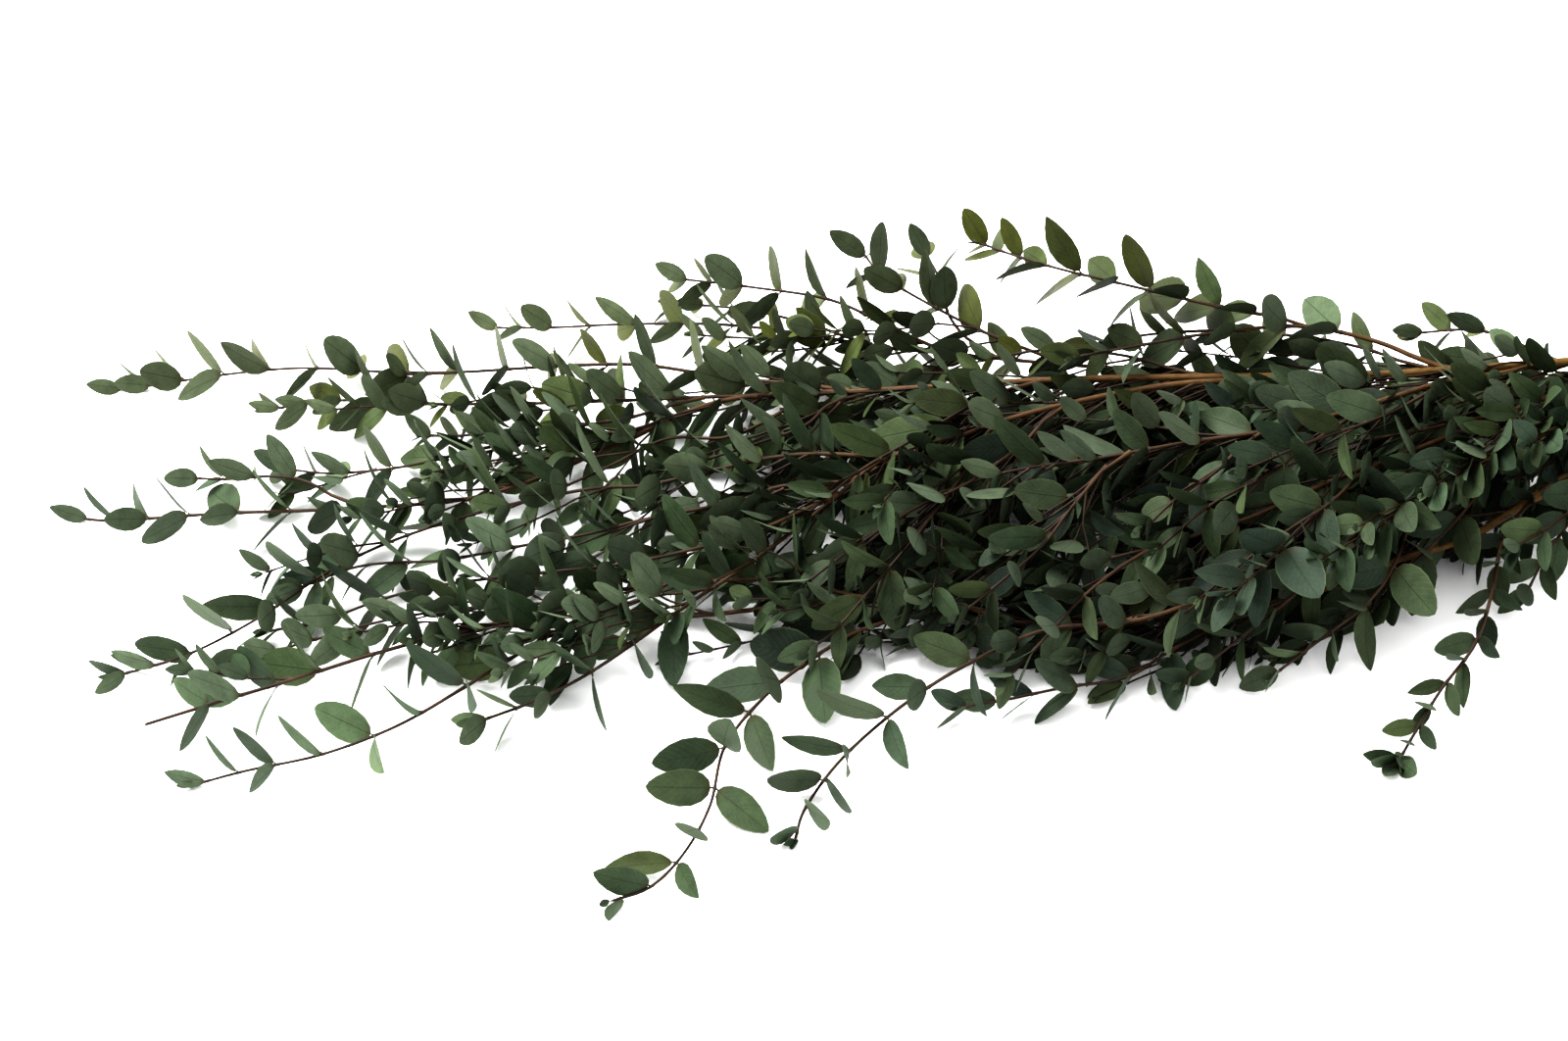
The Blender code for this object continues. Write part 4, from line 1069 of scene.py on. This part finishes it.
def off_table(root, turn, length, width):
    """The leaf's turn, raised a little at a time until the leaf stays over the table."""
    for _ in range(RAISE_ROUNDS):
        along, across, _ = turn.T
        sides = [root + WIDEST * along * length + side * across * width / 2 for side in (1, -1)]
        if min(point[2] for point in (root + along * length, *sides)) > LEAF_LOWEST:
            break
        along = unit(along + np.array((0, 0, RAISE_STEP)))
        across = across * np.array((1, 1, 1 - RAISE_STEP))
        across = unit(across - across.dot(along) * along)
        turn = np.stack([along, across, np.cross(along, across)], axis=1)
    return turn


def leaf_points(name, stems):
    """A mesh of points, one for each leaf of these stems, with its turn, size, kind and colour marks."""
    draws = random.Random(name)
    rows = []
    for stem in stems:
        shape = shapes[stem]
        nodes = np.vstack([lines[stem][3], lines[stem][0][-1:]])
        spots = np.vstack([shape["roots"], shape["path"][-1:]])
        stem_grey = draws.gauss(0, COLOUR_SPREAD / 2)
        for leaf in leaves[stem]:
            node = nodes[np.linalg.norm(spots - leaf["root"], axis=1).argmin()]
            length = leaf["length"]
            turn = off_table(node, leaf["turn"], length, length * leaf["width"])
            width = length * leaf["width"] / WIDTH_SHARE * draws.uniform(*WIDTH_SPREAD)
            level = min(ARCH_LEVELS - 1, int(leaf["arch"] / ARCH * ARCH_LEVELS / 2))
            kind = ARCH_LEVELS * level + draws.choice(FOLD_CHOICES)
            grey = np.interp(node[0], *GREY_ALONG) + stem_grey + draws.gauss(0, COLOUR_SPREAD)
            olive = np.interp(node[1], *OLIVE_ACROSS) + draws.gauss(0, COLOUR_SPREAD)
            tint = max(TINT_MOST * draws.random() ** 2, leaf["bud"])
            # Painted shade: the depth mark darkens the inner, lower leaves where the mass's shadow falls, and
            # whole stems and places along X, with a random spread.
            inner = np.interp(node[0], *INNER_ALONG) * np.interp(node[1], *INNER_ACROSS)
            shade = (1 - inner * np.interp(node[2], *INNER_SHADE)) * STEM_SHADE.get(stem, 1)
            depth = np.interp(node[0], *PAINTED_SHADE_ALONG) * shade * max(DARKEST, draws.gauss(1, DEPTH_SPREAD))
            rows.append(((node - PLAN_CENTRE) * MM, Matrix(turn.tolist()).to_euler(),
                         (length * MM, width * MM, length * MM), kind, np.clip(grey, 0, 1),
                         np.clip(olive, 0, 1), tint, depth))
    places, *columns = zip(*rows)
    mesh = bpy.data.meshes.new(name)
    mesh.from_pydata(places, [], [])
    for (mark_name, kind), values in zip(LEAF_MARKS, columns):
        field = "vector" if kind == "FLOAT_VECTOR" else "value"
        flat = np.array(values, np.int32 if kind == "INT" else np.float32).ravel()
        mesh.attributes.new(mark_name, kind, "POINT").data.foreach_set(field, flat)
    return mesh


leaf_forms = bpy.data.collections.new("Leaf shapes")
bpy.context.scene.collection.children.link(leaf_forms)
for number, form in enumerate(LEAF_FORMS):
    leaf_forms.objects.link(leaf_shape(f"leaf_shape_{number}", *form))
leaf_grower = leaf_tree()
SKINS = {"dark_green": ("#33412c", "#2d3731", "#3e421c", "#576549", "#464f40"),
         "mid_green": ("#394733", "#323b35", "#44481f", "#5e6c4f", "#4b5444"),
         "grey_green": ("#354431", "#303a36", "#42451e", "#59674c", "#485243")}
BLADES = [(tone + "_leaf", leaf_material(tone.replace("_", " ") + " leaf skin", *colours))
          for tone, colours in SKINS.items()]
leaf_groups = []
for number, name in enumerate(solid_stems):
    leaf_groups.append((name + "_leaves", [name], name, *BLADES[number % len(BLADES)]))
inner = [name for name in shapes if name not in solid_stems]
for share, (slot, blade) in enumerate(BLADES):
    leaf_groups.append((f"inner_shoots_leaves_{share + 1}", inner[share::len(BLADES)], None, slot, blade))
for piece, stems, node, slot, blade in leaf_groups:
    foliage = grown(piece, leaf_points(piece, stems), leaf_grower,
                    {"Leaf shapes": leaf_forms, "Blade": blade})
    for vertex in foliage.data.vertices:
        vertex.co.z = max(vertex.co.z, TABLE_GAP * MM)
    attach(foliage, "root")
    if node:
        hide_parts(node)
for shape in list(leaf_forms.objects):
    bpy.data.objects.remove(shape)
bpy.data.collections.remove(leaf_forms)

# The table, the light and the camera
# A plain white table under large soft studio lamps, seen from the front and above.
LAMPS = (("back softbox", (-0.9, 0.65, 1.6), 1.4, 86), ("front fill", (0.5, -1.4, 1.3), 1.6, 4))
TABLE_SIZE = 12
SKY_STRENGTH = 1.5
EYE_DISTANCE = 1.42
EYE_ELEVATION = math.radians(38)
LOOK_AT = Vector((-PLAN_CENTRE[0] * MM, -PLAN_CENTRE[1] * MM, 0))
bpy.ops.mesh.primitive_plane_add(size=TABLE_SIZE)
table = bpy.context.object
table.name = "white_table"
paint, paint_tree = new_material("white table paint")
feed(paint_tree, paint_tree.nodes["Principled BSDF"], {"Base Color": "#fcfcfc", "Roughness": 0.8})
table.data.materials.append(paint)

for label, place, size, power in LAMPS:
    lamp = bpy.data.lights.new(label, "AREA")
    lamp.size = size
    lamp.energy = power
    holder = bpy.data.objects.new(label, lamp)
    holder.location = place
    holder.rotation_euler = Vector(place).to_track_quat("Z", "Y").to_euler()
    bpy.context.scene.collection.objects.link(holder)
sky = bpy.data.worlds.new("studio")
sky.use_nodes = True
feed(sky.node_tree, sky.node_tree.nodes["Background"], {"Color": "#ffffff", "Strength": SKY_STRENGTH})
bpy.context.scene.world = sky
bpy.context.scene.view_settings.view_transform = "Standard"
bpy.context.scene.view_settings.look = "High Contrast"

lens = bpy.data.cameras.new("camera")
lens.lens = 80
lens.sensor_width = 36
camera = bpy.data.objects.new("camera", lens)
away = Vector((0, -math.cos(EYE_ELEVATION), math.sin(EYE_ELEVATION)))
camera.location = LOOK_AT + EYE_DISTANCE * away
camera.rotation_euler = away.to_track_quat("Z", "Y").to_euler()
bpy.context.scene.collection.objects.link(camera)
bpy.context.scene.camera = camera
